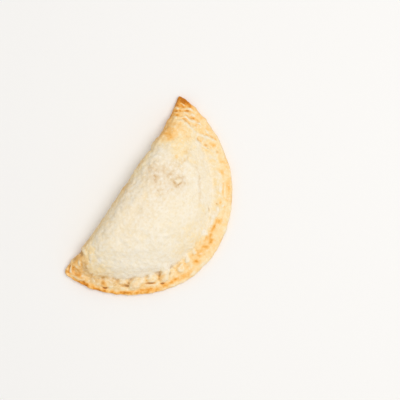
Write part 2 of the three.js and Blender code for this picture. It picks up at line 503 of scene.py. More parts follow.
@dataclass(frozen=True)
class Rope:
    """The crimps: pads of dough pinched over each other, slanting round the rim."""

    rim: Rim
    # Where the middle of the rope runs: lengths along the rim, and inwards from it.
    course: tuple[tuple[float, float], ...] = (
        (0, 5.0), (30, 8.0), (60, 10.0), (112, 9.8), (135, 9.6), (154, 9.0),
        (176, 7.4), (195, 6.6), (212, 5.8), (228, 5.0),
    )
    firm_from: float = 140.0  # the crimps stand up firmly from here on, softly before
    firming: float = 25.0
    firm_to: float = 207.0  # and softly again from here on
    softening: float = 14.0
    horn_fade: tuple[float, float] = (1.0, 16.0)  # the rope rises this far from the horns
    ragged: float = 0.35  # how uneven the pads are, as a share of their height
    ragged_feature: float = 3.2
    bed: float = 0.95  # how high the dough between the pads stands over the flange
    bed_outer: float = 3.3  # from the rope's middle out to the bed's edge
    bed_slope: float = 1.6
    bed_sinks: float = 0.6  # and how far it sinks again towards the dome
    bed_inner_slope: float = 3.0
    soft_bed: float = 0.6  # its height where the crimps are soft, as a share
    merge: float = 3.0  # how sharply pads part from each other
    groove: float = 0.9  # how deep the line between the rope and the dome is
    groove_behind: float = 3.6
    groove_width: float = 1.3
    soft_groove: float = 0.15  # its depth where the crimps are soft, as a share
    covered: float = 0.8  # how far a pad that runs over it fills it
    covering: tuple[float, float] = (0.3, 1.1)  # heights from which a pad does
    # The pads, which the fingers left as uneven as hands do.
    crimps: tuple[Mark, ...] = (
        Mark(208.5, 6.8, 8.0, 5.4, 0, 0.6), Mark(196.4, 6.7, 11.0, 7.8, 12, 1.5),
        Mark(185.6, 8.8, 8.4, 5.0, 0, 0.9), Mark(176.9, 7.5, 11.4, 7.6, 26, 2.0),
        Mark(163.4, 10.2, 9.6, 6.0, 8, 1.3), Mark(153.2, 11.2, 15.4, 7.2, 46, 2.3),
        Mark(141.8, 9.2, 7.4, 5.8, 35, 1.2), Mark(133.8, 11.6, 6.6, 4.8, 35, 1.0),
        Mark(126.8, 10.8, 5.0, 3.8, 20, 0.8), Mark(115.0, 11.2, 8.0, 4.6, 30, 0.4),
        Mark(86.0, 11.6, 10.0, 6.6, 26, 0.4), Mark(72.5, 9.4, 11.0, 5.6, 10, 0.6),
        Mark(60.0, 10.6, 10.0, 6.6, 26, 0.4), Mark(49.0, 9.4, 10.0, 5.6, 26, 0.4),
    )
    # Hollows left by the fingers at the inner ends of the crimps.
    pinches: tuple[Mark, ...] = (
        Mark(201.4, 9.0, 3.4, 2.4, 40, 0.8), Mark(189.6, 8.2, 3.0, 5.0, 0, 0.6),
        Mark(181.7, 8.6, 1.4, 3.0, 30, 0.6), Mark(179.8, 10.8, 2.2, 1.2, 20, 0.35),
        Mark(168.9, 8.9, 1.3, 2.8, 10, 0.6), Mark(157.6, 11.0, 3.4, 0.9, 50, 0.2),
        Mark(154.2, 13.3, 6.0, 1.5, 36, 0.4), Mark(146.0, 12.2, 1.8, 4.0, 20, 0.6),
        Mark(137.3, 10.2, 1.9, 2.8, 20, 0.7), Mark(124.5, 11.3, 2.4, 1.8, 20, 0.6),
        Mark(92.3, 14.7, 4.2, 1.1, 8, 1.0), Mark(86.4, 10.3, 2.4, 1.4, 40, 0.8),
    )
    # Gaps under the outer ends of the crimps, where they overhang the flange.
    gaps: tuple[Mark, ...] = (
        Mark(197.9, 3.3, 4.0, 1.0, 12, 1.7), Mark(184.5, 6.4, 5.0, 1.0, -3, 1.5),
        Mark(177.5, 3.7, 6.0, 1.2, 26, 0.4), Mark(166.6, 6.9, 7.0, 1.0, -7, 1.9),
        Mark(158.6, 4.7, 3.4, 0.9, -14, 1.1), Mark(145.1, 6.9, 3.4, 1.6, 10, 0.4),
        Mark(137.1, 7.3, 2.4, 1.8, 10, 0.5),
    )

    def centre(self, along: Array) -> Array:
        """Gives how far inwards the rope's middle runs at a length along the rim."""
        stations, depths = zip(*self.course)
        return np.interp(along, stations, depths)

    def rise(self, along: Array, depth: Array) -> Array:
        """Gives the rope's height over the flange.

        Args:
            along: Lengths along the rim.
            depth: Depths inwards from it.

        Returns:
            The height of the pads and of the dough between them.
        """
        pads = sum(crimp.pad(along, depth) ** self.merge for crimp in self.crimps)
        ragged = Unevenness(Seed.PADS).layered(flat_spots(along, depth), self.ragged_feature, 2)
        pads = pads ** (1.0 / self.merge) * (1.0 + self.ragged * ragged)
        middle = self.centre(along)
        outer, inner = middle - self.bed_outer, middle + self.bed_outer
        firm = ramp(along, self.firm_from - self.firming, self.firm_from)
        bed = ramp(depth, outer - self.bed_slope, outer + self.bed_slope)
        bed *= 1.0 - self.bed_sinks * ramp(depth, inner, inner + self.bed_inner_slope)
        bed *= self.bed * mix(self.soft_bed, 1.0, firm)
        cuts = sum(cut.soft(along, depth) for cut in self.pinches + self.gaps)
        behind = depth - middle - self.groove_behind
        firm *= 1.0 - ramp(along, self.firm_to - self.softening, self.firm_to)
        firm *= 1.0 - self.covered * ramp(pads, *self.covering)
        cuts += self.groove * mix(self.soft_groove, 1.0, firm) * bump(behind, self.groove_width)
        return ramp(self.rim.from_horn(along), *self.horn_fade) * (bed + pads - cuts)


@dataclass(frozen=True)
class Flaps:
    """The long thin folds of dough beside the rim, where the two layers were pressed."""

    rim: Rim
    ridges: tuple[Ridge, ...] = (
        Ridge(((-1.0, 5.2), (1.5, 4.0), (3.6, 3.5), (6.3, 4.1), (8.3, 3.3), (12.0, 2.8)),
              0.8, 1.0, 0.8, 0.45, 1.5),
        Ridge(((0.5, 9.0), (2.0, 8.3), (4.1, 7.6), (6.4, 6.5), (8.0, 5.2), (10.8, 4.3),
               (13.5, 3.6)), 0.75, 1.1, 0.8, 0.4, 1.5),
        Ridge(((2.5, 11.9), (3.9, 11.0), (6.4, 9.8), (9.0, 8.1), (11.0, 6.7), (14.0, 5.5),
               (18.0, 3.8)), 0.8, 1.2, 0.8, 0.4, 2.0),
        Ridge(((5.0, 14.8), (9.0, 12.8), (13.0, 9.5), (17.0, 8.0), (23.3, 5.8), (29.1, 4.7),
               (35.0, 3.6)), 0.85, 1.2, 0.9, 0.4),
        Ridge(((9.5, 14.4), (16.3, 11.9), (20.2, 12.1), (26.3, 10.8), (30.5, 8.8),
               (35.8, 5.3), (41.3, 2.2)), 1.05, 1.3, 0.9),
        Ridge(((29.0, 13.8), (33.3, 13.1), (40.1, 10.9), (45.3, 6.9), (50.0, 5.6)),
              0.85, 1.3, 0.9),
        Ridge(((63.0, 9.0), (68.5, 8.0), (74.0, 7.4), (80.0, 8.6)), 0.4),
        Ridge(((81.0, 7.0), (82.9, 5.3), (86.4, 5.1), (88.3, 6.8)), 0.5, 0.9, 0.8, 0.3, 1.0),
        Ridge(((87.5, 9.4), (90.2, 8.6), (92.3, 8.3), (96.5, 9.0)), 0.6, 1.5, 0.9, 0.5, 1.5),
        Ridge(((93.0, 10.6), (97.4, 10.7), (102.9, 11.2), (108.0, 11.8), (112.5, 11.6)),
              1.0, 2.8, 1.3, 0.25),
        Ridge(((200.0, 4.0), (205.0, 4.4), (209.0, 4.4), (214.0, 4.0)), 0.4, 1.6, 1.3, 0.3),
        Ridge(((213.0, 3.8), (217.1, 2.6), (220.3, 2.4), (223.2, 3.1), (225.6, 4.6),
               (227.3, 7.2), (228.2, 9.5)), 1.2, 1.5, 1.2, 0.6, 1.5),
        Ridge(((214.0, 8.6), (219.0, 8.0), (222.5, 9.4), (226.0, 11.5)), 0.4, 1.4, 1.0),
    )
    uneven_feature: float = 5.0
    uneven_across: float = 1.5  # how much finer the unevenness is across the folds
    uneven_mean: float = 0.85
    uneven_swing: float = 0.6
    edge_fade: tuple[float, float] = (0.4, 2.2)

    def rise(self, along: Array, depth: Array) -> Array:
        """Gives the height of all the folds.

        Args:
            along: Lengths along the rim.
            depth: Depths inwards from it.

        Returns:
            The height over the dough.
        """
        spots = flat_spots(along, depth * self.uneven_across)
        uneven = Unevenness(Seed.FLAPS).at(spots, self.uneven_feature)
        folds = sum(ridge.rise(along, depth) for ridge in self.ridges)
        uneven = self.uneven_mean + self.uneven_swing * uneven
        return folds * ramp(depth, *self.edge_fade) * uneven


@dataclass
class Dome:
    """The crust over the filling."""

    rim: Rim
    rope: Rope
    height: float = 23.4  # over the flange
    run: float = 44.0  # how far in from its foot it goes on rising
    fullness: float = 2.3  # how fast it rises at first, and at the horns
    horn_fullness: float = 1.5
    spread: float = 45.0  # how far from a horn it has filled out
    behind_rope: float = 3.4  # from the rope's middle to the dome's foot
    horn_foot: float = 5.0  # depth of its foot at the horns

    def rise(self, along: Array, depth: Array) -> Array:
        """Gives the dome's height over the flange.

        Args:
            along: Lengths along the rim.
            depth: Depths inwards from it.

        Returns:
            The height, 0 outside the dome's foot.
        """
        spread = ramp(self.rim.from_horn(along), 0.0, self.spread)
        foot = mix(self.horn_foot, self.rope.centre(along) + self.behind_rope, spread)
        fullness = mix(self.horn_fullness, self.fullness, spread)
        rest = 1.0 - np.clip((depth - foot) / self.run, 0.0, 1.0)
        return self.height * (1.0 - rest**fullness)


@dataclass
class Skin:
    """The whole crust as loops round its sections, from the blunt horn to the slim one."""

    outline: Outline = Outline()
    sections: int = 420
    rim_edge: float = 2.4  # height at which the rim reaches out furthest
    fold_edge: float = 9.5  # height at which the fold's back reaches furthest
    flange_top: float = 4.6
    lip: float = 1.8  # how far in the rim's edge is rounded above
    rim_undercut: float = 3.6  # and below
    shoulder: float = 14.0  # how far in the fold is rounded above
    fold_undercut: float = 6.0  # and below
    fold_fade: float = 34.0  # how far from a horn the fold starts to thin
    thin_share: float = 0.25  # its rounding at the horn, as a share
    full_section: float = 40.0  # shorter sections have their roundings squeezed
    nose_length: float = 8.0  # and still shorter ones sink to the horn's nose
    seam_zone: float = 17.0  # depth of the finely divided zone at the rim
    shoulder_rows: int = 40
    middle_rows: int = 54
    seam_rows: int = 46
    lip_rows: int = 8
    rim_under_rows: int = 9
    flat_rows: int = 26
    fold_under_rows: int = 18

    def __post_init__(self) -> None:
        """Builds the rope, the flaps and the dome, and measures every section."""
        self.rope = Rope(self.outline.rim)
        self.dome = Dome(self.outline.rim, self.rope)
        self.flaps = Flaps(self.outline.rim)
        self.fold_points, self.rim_points = self.outline.sides(self.sections)
        self.length = np.hypot(*(self.rim_points - self.fold_points).T)[:, None]
        self.squeeze = np.minimum(1.0, self.length / self.full_section)
        self.nose = rounded(self.length, self.nose_length)
        x = self.fold_points[:, :1]
        horn = self.outline.rim.radius_at(np.where(x > 0, 0.0, math.pi))
        self.fullness = ramp(horn - np.abs(x), 0.0, self.fold_fade)
        self.width = mix(self.thin_share, 1.0, self.fullness)
        self.back_edge = mix(self.rim_edge, self.fold_edge, self.fullness)

    def flat(self, run: Array) -> tuple[Array, Array]:
        """Finds flat places along the sections.

        Args:
            run: How far from the fold they lie, for each section.

        Returns:
            Their X and Y.
        """
        share = run / np.maximum(self.length, TINY)
        across = (self.rim_points - self.fold_points)[:, None]
        spots = self.fold_points[:, None] + share[..., None] * across
        return spots[..., 0], spots[..., 1]

    def top_runs(self) -> Array:
        """Spaces the top's rows, closest at the fold's shoulder and the rim.

        Returns:
            How far from the fold each row lies, for each section.
        """
        turn = np.linspace(0.0, math.pi / 2, self.shoulder_rows)
        near = self.shoulder * (1.0 - np.cos(turn)) * self.squeeze
        lip = self.lip * (1.0 - np.cos(np.linspace(0.0, math.pi / 2, self.lip_rows)))
        seam = np.linspace(self.lip, self.seam_zone, self.seam_rows)
        far = np.concatenate([lip, seam[1:]])[::-1]
        far = self.length - far * self.squeeze
        share = np.linspace(0.0, 1.0, self.middle_rows + 2)[1:-1]
        between = mix(near[:, -1:], far[:, :1], share)
        return np.concatenate([near, between, far], axis=1)

    def top(self) -> tuple[Array, Array]:
        """Works out the top, from the fold to the rim.

        Returns:
            Its points, and how much of their height is rope and flaps.
        """
        run = self.top_runs()
        x, y = self.flat(run)
        along, depth = self.outline.rim.worked(x, y)
        edge = mix(self.back_edge, self.rim_edge, run / np.maximum(self.length, TINY))
        plain = self.flange_top + self.dome.rise(along, depth)
        lift = self.rope.rise(along, depth) + self.flaps.rise(along, depth)
        share = rounded(run, self.shoulder * self.width) * self.nose
        share = share * rounded(self.length - run, self.lip)
        z = edge + (plain + lift - edge) * share
        return np.stack([x, y, z], axis=-1), lift * share

    def under(self) -> Array:
        """Works out the underside, from the rim back to the fold.

        Returns:
            Its points.
        """
        rim_share = 1.0 - np.cos(np.linspace(0.0, math.pi / 2, self.rim_under_rows))
        fold_share = 1.0 - np.cos(np.linspace(0.0, math.pi / 2, self.fold_under_rows))
        rim_run = self.length - self.rim_undercut * self.squeeze * rim_share
        fold_run = self.fold_undercut * self.width * self.squeeze * fold_share[::-1]
        share = np.linspace(0.0, 1.0, self.flat_rows + 2)[1:-1]
        flat_run = mix(rim_run[:, -1:], fold_run[:, :1], share)
        run = np.concatenate([rim_run, flat_run, fold_run], axis=1)
        rim_z = self.rim_edge * (1.0 - rounded(rim_share, 1.0) * self.nose)
        fold_z = self.back_edge * (1.0 - rounded(fold_share[::-1], 1.0) * self.nose)
        flat_z = mix(rim_z[:, -1:], fold_z[:, :1], share)
        x, y = self.flat(run)
        z = np.concatenate([rim_z, flat_z, fold_z], axis=1)
        return np.stack([x, y, z], axis=-1)

    def loops(self) -> tuple[Array, Array]:
        """Works out every section's closed loop, over the top and back underneath.

        Returns:
            The points, and how much of their height is rope and flaps.
        """
        top, lift = self.top()
        under = self.under()[:, 1:-1]
        lift = np.pad(lift, ((0, 0), (0, under.shape[1])))
        return np.concatenate([top, under], axis=1), lift


def normals_of(loops: Array) -> Array:
    """Gives the outward directions of a grid of closed loops.

    Args:
        loops: Points, by section and by place round the section.

    Returns:
        One unit direction for each point.
    """
    onward = np.gradient(loops, axis=0)
    around = np.roll(loops, -1, axis=1) - np.roll(loops, 1, axis=1)
    out = np.cross(around, onward)
    length = np.linalg.norm(out, axis=-1, keepdims=True)
    return out / np.maximum(length, TINY)


def evened(values: Array, rounds: int) -> Array:
    """Evens values out over their neighbours.

    Args:
        values: One for each point, by section and by place round the section.
        rounds: How many times to give each point the mean of its neighbours.

    Returns:
        The evened values.
    """
    even = values.copy()
    for _ in range(rounds):
        beside = np.roll(even, -1, axis=1) + np.roll(even, 1, axis=1)
        onward = even[:-2] + even[2:]
        even[1:-1] = (beside[1:-1] + onward) / 4
    return even


@dataclass
class Relief:
    """The fine relief that baking left on the crust, along the skin's directions."""

    outline: Outline
    blisters: tuple[Blister, ...]
    line: Mark
    line_depth: float = 0.22
    facing_up: tuple[float, float] = (-0.35, 0.25)  # upward share of the skin's direction
    under_rough: float = 0.25  # how rough the underside is, as a share
    nose_fade: tuple[float, float] = (1.0, 8.0)  # lengths of section between which it sets in
    on_dome: tuple[float, float] = (12.0, 22.0)  # depths between which the dome's own sets in
    dome_swell: float = 0.7
    dome_feature: float = 21.0
    lump_swell: float = 0.7
    lump_feature: float = 9.0
    rumple: float = 0.52
    rumple_feature: float = 4.4
    crinkle: float = 0.36
    crinkle_feature: float = 2.2
    streak: float = 0.32  # wrinkles that the pressing drew out beside the rim
    streak_length: float = 7.0
    streak_width: float = 1.5
    streak_upright: float = 0.2  # how fast they change up and down the skin
    streak_slant: float = 0.36  # how fast they run outwards, up to a length along the rim
    streak_slant_end: float = 56.0
    streak_zone: tuple[float, float] = (7.0, 14.0)  # depths between which they end
    slim_zone: tuple[float, float] = (10.0, 22.0)  # and the same at the slim horn
    slim_side: tuple[float, float] = (40.0, 60.0)  # lengths along between which that ends
    dome_streak: float = 0.05  # fibres on the dome, drawn out across it from the fold
    dome_streak_length: float = 5.0
    dome_streak_width: float = 1.9
    dome_streak_upright: float = 0.1
    edge_ragged: float = 0.24
    edge_feature: float = 3.6
    edge_reach: float = 1.6
    seam_groove: float = 0.4  # between the two layers of dough at the rim's edge
    seam_height: float = 2.5
    seam_width: float = 0.42
    seam_depth: float = 1.4
    seam_feature: float = 9.0  # how long the stretches are where the seam closes up
    seam_open: tuple[float, float] = (-0.7, 0.3)
    fold_reach: float = 7.0  # how far from the back the skin is scaly
    fold_rough: float = 0.9
    # Where the steam has rumpled the dome most, and where the folding has.
    steamed: tuple[Mark, ...] = (
        Mark(23.0, -20.0, 44.0, 30.0, 0, 1.3), Mark(-55.0, -8.0, 22.0, 16.0, 0, 0.2),
    )
    # Small folds that the hands left: X, Y and size, or below 0 creases.
    folds: tuple[Mark, ...] = (
        Mark(-50.4, -4.2, 8.0, 2.0, -61, 1.1), Mark(-52.6, -2.6, 5.0, 1.8, -61, -1.2),
        Mark(-51.9, -10.2, 7.0, 2.0, -33, 0.6), Mark(-54.2, -10.6, 6.0, 1.8, -33, -0.5),
        Mark(-49.4, -16.0, 3.4, 3.0, 0, 0.6), Mark(-58.0, -5.4, 4.4, 1.6, -33, 0.5),
        Mark(-1.6, -39.5, 9.0, 1.2, 90, 0.3), Mark(11.5, -8.0, 5.0, 1.4, 70, 0.25),
        Mark(19.2, -16.2, 5.0, 1.3, 60, 0.3),
    )

    def rough(self, x: Array, y: Array) -> Array:
        """Gives how much rougher than usual the skin is at flat places, as a factor."""
        near_fold = bump(self.outline.fold.y(x) - y, self.fold_reach)
        return 1.0 + self.fold_rough * near_fold + sum(zone.soft(x, y) for zone in self.steamed)

    def off_noses(self, points: Array) -> Array:
        """Gives 1, and towards 0 where the sections shrink to the horns' noses."""
        return ramp(np.ptp(points[..., 1], axis=1, keepdims=True), *self.nose_fade)

    def height(self, points: Array, normals: Array) -> Array:
        """Adds up the fine relief.

        Args:
            points: Places on the skin.
            normals: Their outward directions.

        Returns:
            How far each point moves outwards.
        """
        x, y, _ = np.moveaxis(points, -1, 0)
        _, depth = self.outline.rim.place(x, y)
        uneven = Unevenness(Seed.RELIEF)
        finer = Unevenness(Seed.FINE_RELIEF)
        upper = ramp(normals[..., 2], *self.facing_up)
        dome = ramp(depth, *self.on_dome) * upper
        swell = self.dome_swell * uneven.at(points, self.dome_feature) * dome
        lumps = self.lump_swell * uneven.layered(points, self.lump_feature, 2) * upper
        rough = self.rough(x, y) * mix(self.under_rough, 1.0, upper)
        rumple = self.rumple * finer.layered(points, self.rumple_feature, 2) * rough
        crinkle = self.crinkle * uneven.layered(points, self.crinkle_feature, 2) * rough
        at_edge = np.exp(-depth / self.edge_reach)
        ragged = self.edge_ragged * uneven.layered(points, self.edge_feature, 2) * at_edge
        line = self.line_depth * self.line.soft(*self.outline.rim.worked(x, y)) * upper
        raised = sum(blister.rise(x, y) for blister in self.blisters) * upper
        raised += sum(fold.soft(x, y) for fold in self.folds) * upper
        coarse = swell + lumps + ragged + raised - line - self.seam(points, depth)
        fine = self.streaks(points) * upper + self.fibres(points) * dome
        return (coarse + rumple + crinkle + fine) * self.off_noses(points)

    def streaks(self, points: Array) -> Array:
        """Gives the wrinkles beside the rim, which slant outwards on the slim horn's side.

        Args:
            points: Places on the skin.

        Returns:
            Their height.
        """
        x, y, z = np.moveaxis(points, -1, 0)
        along, depth = self.outline.rim.place(x, y)
        slanted = depth + self.streak_slant * np.minimum(along, self.streak_slant_end)
        drawn = [along / self.streak_length, slanted / self.streak_width, self.streak_upright * z]
        at_slim = 1.0 - ramp(along, *self.slim_side)
        near, far = (mix(*ends, at_slim) for ends in zip(self.streak_zone, self.slim_zone))
        wrinkles = Unevenness(Seed.RELIEF).layered(np.stack(drawn, axis=-1), 1.0, 2)
        return self.streak * wrinkles * (1.0 - ramp(depth, near, far))

    def fibres(self, points: Array) -> Array:
        """Gives the fibres on the dome.

        Args:
            points: Places on the skin.

        Returns:
            Their height.
        """
        x, y, z = np.moveaxis(points, -1, 0)
        drawn = [x / self.dome_streak_width, y / self.dome_streak_length]
        drawn = np.stack([*drawn, self.dome_streak_upright * z], axis=-1)
        return self.dome_streak * Unevenness(Seed.FINE_RELIEF).layered(drawn, 1.0, 2)

    def seam(self, points: Array, depth: Array) -> Array:
        """Gives the groove between the two layers of dough, which closes up here and there.

        Args:
            points: Places on the skin.
            depth: Their depths inwards from the rim.

        Returns:
            How deep it is.
        """
        groove = bump(points[..., 2] - self.seam_height, self.seam_width)
        groove *= ramp(self.seam_depth - depth, 0.0, 1.0)
        stretches = Unevenness(Seed.RELIEF).at(points, self.seam_feature)
        return self.seam_groove * (groove * ramp(stretches, *self.seam_open))


@dataclass
class Baking:
    """How far each part of the crust has browned, from 0, cream, to 1, nearly burnt, with painted
    highlights and painted shade.
    """

    outline: Outline
    rope: Rope
    blisters: tuple[Blister, ...]
    line: Mark
    # Browning of the flange: lengths along the rim, and how brown it is.
    flange: tuple[tuple[float, float], ...] = (
        (0, 0.78), (8, 0.62), (15, 0.46), (40, 0.38), (66, 0.38), (90, 0.34), (125, 0.4),
        (150, 0.6), (165, 0.72), (178, 0.7), (190, 0.82), (205, 0.9), (228, 0.66),
    )
    # Browning of the rope, in the same way.
    crimps: tuple[tuple[float, float], ...] = (
        (0, 0.62), (8, 0.5), (15, 0.39), (45, 0.33), (60, 0.25), (90, 0.25), (102, 0.32),
        (115, 0.48), (128, 0.5), (150, 0.4), (178, 0.34), (190, 0.36), (205, 0.4), (222, 0.5),
    )
    # Browning of the dome beside the rope, in the same way.
    foot: tuple[tuple[float, float], ...] = (
        (0, 0.5), (14, 0.38), (30, 0.26), (45, 0.12), (90, 0.1), (105, 0.13), (120, 0.2),
        (150, 0.06), (176, 0.06), (190, 0.12), (203, 0.26), (222, 0.44),
    )
    # Depths from the rope's middle between which one band of browning turns into the next.
    to_crimps: tuple[float, float] = (-5.6, -3.2)
    to_foot: tuple[float, float] = (0.5, 4.5)
    to_dome: tuple[float, float] = (8.0, 26.0)
    bands_feature: float = 5.0  # how coarsely the bands run in and out
    dome: float = 0.1
    # Browning of the horns, which stand out into the heat: X, Y, how far, how strong.
    heats: tuple[tuple[float, float, float, float], ...] = (
        (68.6, -2.6, 4.2, 0.44), (68.6, -2.6, 27.0, 0.48), (-70.5, -3.0, 16.8, 0.46),
    )
    # golden at the fold's edge: partly browning, partly painted shade on the steep back
    fold: float = 0.21
    fold_reach: float = 3.5
    fold_slim: float = 0.2  # how much more golden the fold's edge is towards the slim horn
    fold_slim_from: tuple[float, float] = (34.0, 50.0)
    fold_slim_reach: float = 2.2  # the reach of that, which narrows there
    fold_narrows: tuple[float, float] = (40.0, 54.0)
    edge: float = 0.16  # the very edge browns first, on the slim horn's side
    edge_reach: float = 0.9
    burnt: tuple[float, float] = (0.55, 1.0)  # horns this brown gain nothing from the fold
    dark: tuple[float, float] = (0.5, 1.0)  # and horns this brown nothing from the edge
    underside: float = 0.3  # the foot fries on the baking sheet
    underside_to: tuple[float, float] = (0.2, 2.0)
    # Spots along the rim, in order from the slim horn: browned, or below 0 pale, mostly painted
    # highlights.
    patches: tuple[Mark, ...] = (
        # Browned, at the slim horn and between the flaps.
        Mark(3.0, 6.6, 5.6, 1.4, 20, 0.28), Mark(5.6, 10.4, 8.0, 4.0, 25, 0.14),
        Mark(5.9, 1.2, 8.0, 1.8, 0, 0.26), Mark(6.3, 8.6, 6.0, 1.4, 25, 0.24),
        Mark(7.4, 12.0, 6.4, 1.5, 27, 0.22), Mark(9.4, 5.6, 6.4, 1.5, 14, 0.24),
        Mark(11.0, 2.5, 3.6, 1.5, 10, 0.2), Mark(12.1, 10.9, 6.0, 1.6, 24, 0.18),
        Mark(17.9, 5.2, 6.4, 1.8, 22, 0.2), Mark(27.4, 7.3, 6.0, 2.0, 20, 0.26),
        # Browned, on the slim side of the belly.
        Mark(41.6, 5.0, 6.6, 2.6, 26, 0.32), Mark(55.5, 3.4, 9.0, 3.0, 16, 0.16),
        Mark(62.5, 6.9, 7.0, 2.6, 31, 0.3), Mark(75.0, 2.6, 13.0, 3.4, 0, 0.24),
        Mark(75.6, 6.0, 9.0, 1.2, 0, 0.28), Mark(84.8, 8.0, 4.0, 2.6, 0, 0.34),
        # Browned, round the belly.
        Mark(93.4, 18.3, 8.0, 6.0, 0, 0.08), Mark(97.3, 3.7, 8.0, 3.4, 0, 0.1),
        Mark(98.0, 6.6, 3.4, 3.2, 20, 0.34), Mark(98.9, 5.9, 3.4, 2.6, 0, 0.16),
        Mark(103.8, 8.2, 9.4, 2.0, -4, 0.38), Mark(110.2, 8.0, 3.6, 2.6, 0, 0.2),
        Mark(113.1, 6.9, 3.6, 2.8, 0, 0.36), Mark(114.4, 10.4, 5.0, 3.6, 0, 0.16),
        Mark(119.0, 8.2, 4.6, 2.2, -50, 0.36), Mark(120.0, 15.0, 14.0, 7.0, 20, 0.1),
        Mark(124.0, 7.8, 6.0, 4.0, 0, 0.28), Mark(131.0, 6.0, 5.4, 3.0, -50, 0.4),
        # Browned, along the firm crimps.
        Mark(141.6, 9.4, 5.0, 3.6, 30, 0.16), Mark(141.8, 9.0, 4.0, 3.0, 30, 0.14),
        Mark(142.0, 3.6, 7.0, 3.0, 0, 0.06), Mark(150.8, 4.5, 8.0, 3.0, 10, 0.16),
        Mark(154.3, 3.1, 7.0, 3.0, 0, 0.08), Mark(156.0, 22.0, 50.0, 20.0, 0, 0.02),
        Mark(156.2, 9.8, 10.0, 5.0, 46, 0.34), Mark(163.4, 9.8, 7.0, 4.0, 8, 0.16),
        Mark(168.4, 3.6, 8.0, 2.2, 0, 0.2), Mark(177.0, 7.4, 7.0, 4.6, 26, 0.2),
        Mark(184.9, 2.0, 8.0, 2.2, 0, 0.22), Mark(185.0, 7.6, 7.0, 3.6, 0, 0.16),
        Mark(189.8, 8.0, 3.0, 4.0, 0, 0.04), Mark(198.2, 4.4, 4.0, 1.6, 12, 0.3),
        Mark(198.6, 6.0, 5.0, 4.6, 0, 0.34), Mark(200.0, 5.6, 3.2, 3.6, 0, 0.3),
        Mark(202.0, 2.3, 22.0, 2.6, 0, 0.16),
        # Browned, at the blunt horn.
        Mark(208.8, 7.9, 6.0, 3.4, 0, 0.3), Mark(212.0, 1.6, 18.0, 3.8, 0, 0.26),
        Mark(219.8, 5.0, 6.0, 2.0, 20, 0.26), Mark(222.0, 8.0, 5.0, 4.0, 0, 0.2),
        Mark(224.8, 7.2, 5.0, 2.4, -60, 0.2), Mark(227.0, 2.4, 6.0, 3.0, 0, 0.12),
        # Pale, as far as the belly: painted highlights on the crests of the flaps and on the
        # pads, and a pale streak on the flange.
        Mark(24.0, 11.4, 14.0, 1.7, 12, -0.06), Mark(36.0, 5.2, 6.0, 1.8, 30, -0.14),
        Mark(47.6, 5.2, 6.0, 2.6, 0, -0.08), Mark(75.8, 4.7, 10.0, 0.9, 0, -0.16),
        Mark(76.3, 12.2, 9.0, 3.0, 0, -0.08), Mark(80.6, 4.6, 5.0, 1.2, 20, -0.16),
        Mark(85.2, 6.0, 6.0, 3.0, 0, -0.08), Mark(91.9, 8.6, 5.0, 2.6, 0, -0.1),
        Mark(97.9, 10.9, 6.0, 2.6, 0, -0.1), Mark(105.0, 12.0, 12.0, 2.4, -10, -0.24),
        Mark(110.4, 12.2, 2.6, 4.4, 0, -0.2), Mark(121.3, 10.1, 5.0, 4.0, 0, -0.1),
        Mark(126.8, 10.9, 3.4, 2.6, 0, -0.12), Mark(133.8, 12.0, 4.4, 3.0, 35, -0.1),
        # Pale, along the firm crimps and at the blunt horn: painted highlights on the tops and
        # edges of the pads and on the crests of the flaps, and paler lines along the very edge.
        Mark(150.2, 10.6, 10.0, 2.4, 46, -0.2), Mark(151.0, 1.0, 22.0, 2.4, 0, -0.24),
        Mark(160.0, 5.6, 8.0, 1.6, 0, -0.06), Mark(161.2, 8.8, 2.4, 3.4, 0, -0.24),
        Mark(172.0, 9.0, 5.0, 3.0, 26, -0.2), Mark(178.0, 0.2, 24.0, 1.2, 0, -0.2),
        Mark(180.0, 3.6, 10.0, 2.0, 0, -0.08), Mark(195.4, 6.6, 5.0, 4.0, 0, -0.12),
        Mark(196.0, 0.4, 24.0, 1.4, 0, -0.1), Mark(214.0, 0.1, 36.0, 0.9, 0, -0.16),
        Mark(220.4, 2.5, 9.0, 1.1, 8, -0.26), Mark(225.8, 5.0, 5.6, 1.2, -60, -0.3),
    )
    # Golden spots on the dome, by X and Y, or below 0 pale.
    spots: tuple[Mark, ...] = (
        # Golden, towards the slim horn.
        Mark(59.4, -4.6, 6.0, 4.0, 0, 0.1), Mark(47.5, -18.0, 12.0, 10.0, 0, 0.15),
        Mark(46.2, -6.2, 5.0, 4.0, 0, 0.14), Mark(46.0, -8.0, 12.0, 9.0, 20, 0.26),
        Mark(43.0, -9.6, 5.0, 5.0, 0, 0.2), Mark(41.0, -23.9, 3.4, 3.0, 0, 0.2),
        Mark(41.0, -10.0, 10.0, 8.0, 0, 0.14), Mark(38.6, -22.4, 5.0, 3.0, 0, 0.16),
        Mark(38.4, -31.9, 2.4, 3.6, 0, 0.1), Mark(38.0, -4.5, 8.0, 5.0, 0, 0.14),
        Mark(37.0, -19.5, 12.0, 6.0, -33, 0.14), Mark(35.0, -25.4, 9.0, 2.6, 16, 0.1),
        Mark(34.6, -20.0, 5.0, 3.0, 0, 0.1),
        # Golden, towards the blunt horn.
        Mark(-45.5, -7.5, 14.0, 6.0, 0, 0.12), Mark(-54.0, -7.0, 8.0, 8.0, 0, 0.14),
        Mark(-58.4, -7.6, 5.0, 4.0, 0, 0.12), Mark(-63.5, -9.5, 4.0, 3.0, 0, 0.14),
        Mark(-66.0, -12.0, 12.0, 10.0, 0, 0.06),
        # Pale, with painted highlights on the small raised folds at the blunt horn.
        Mark(-21.0, -46.0, 30.0, 20.0, 0, -0.03), Mark(-42.0, -5.9, 3.0, 2.4, 0, -0.1),
        Mark(-49.2, -15.5, 3.4, 3.8, 0, -0.26), Mark(-50.4, -4.2, 8.0, 2.0, -61, -0.3),
        Mark(-51.9, -10.2, 7.0, 2.4, -33, -0.26), Mark(-54.3, -15.8, 6.0, 6.0, 0, -0.1),
        Mark(-58.3, -5.2, 4.0, 2.0, -33, -0.2), Mark(-60.0, -0.7, 3.0, 2.4, 0, -0.2),
        Mark(-64.0, -11.2, 3.0, 3.0, 0, -0.2),
    )
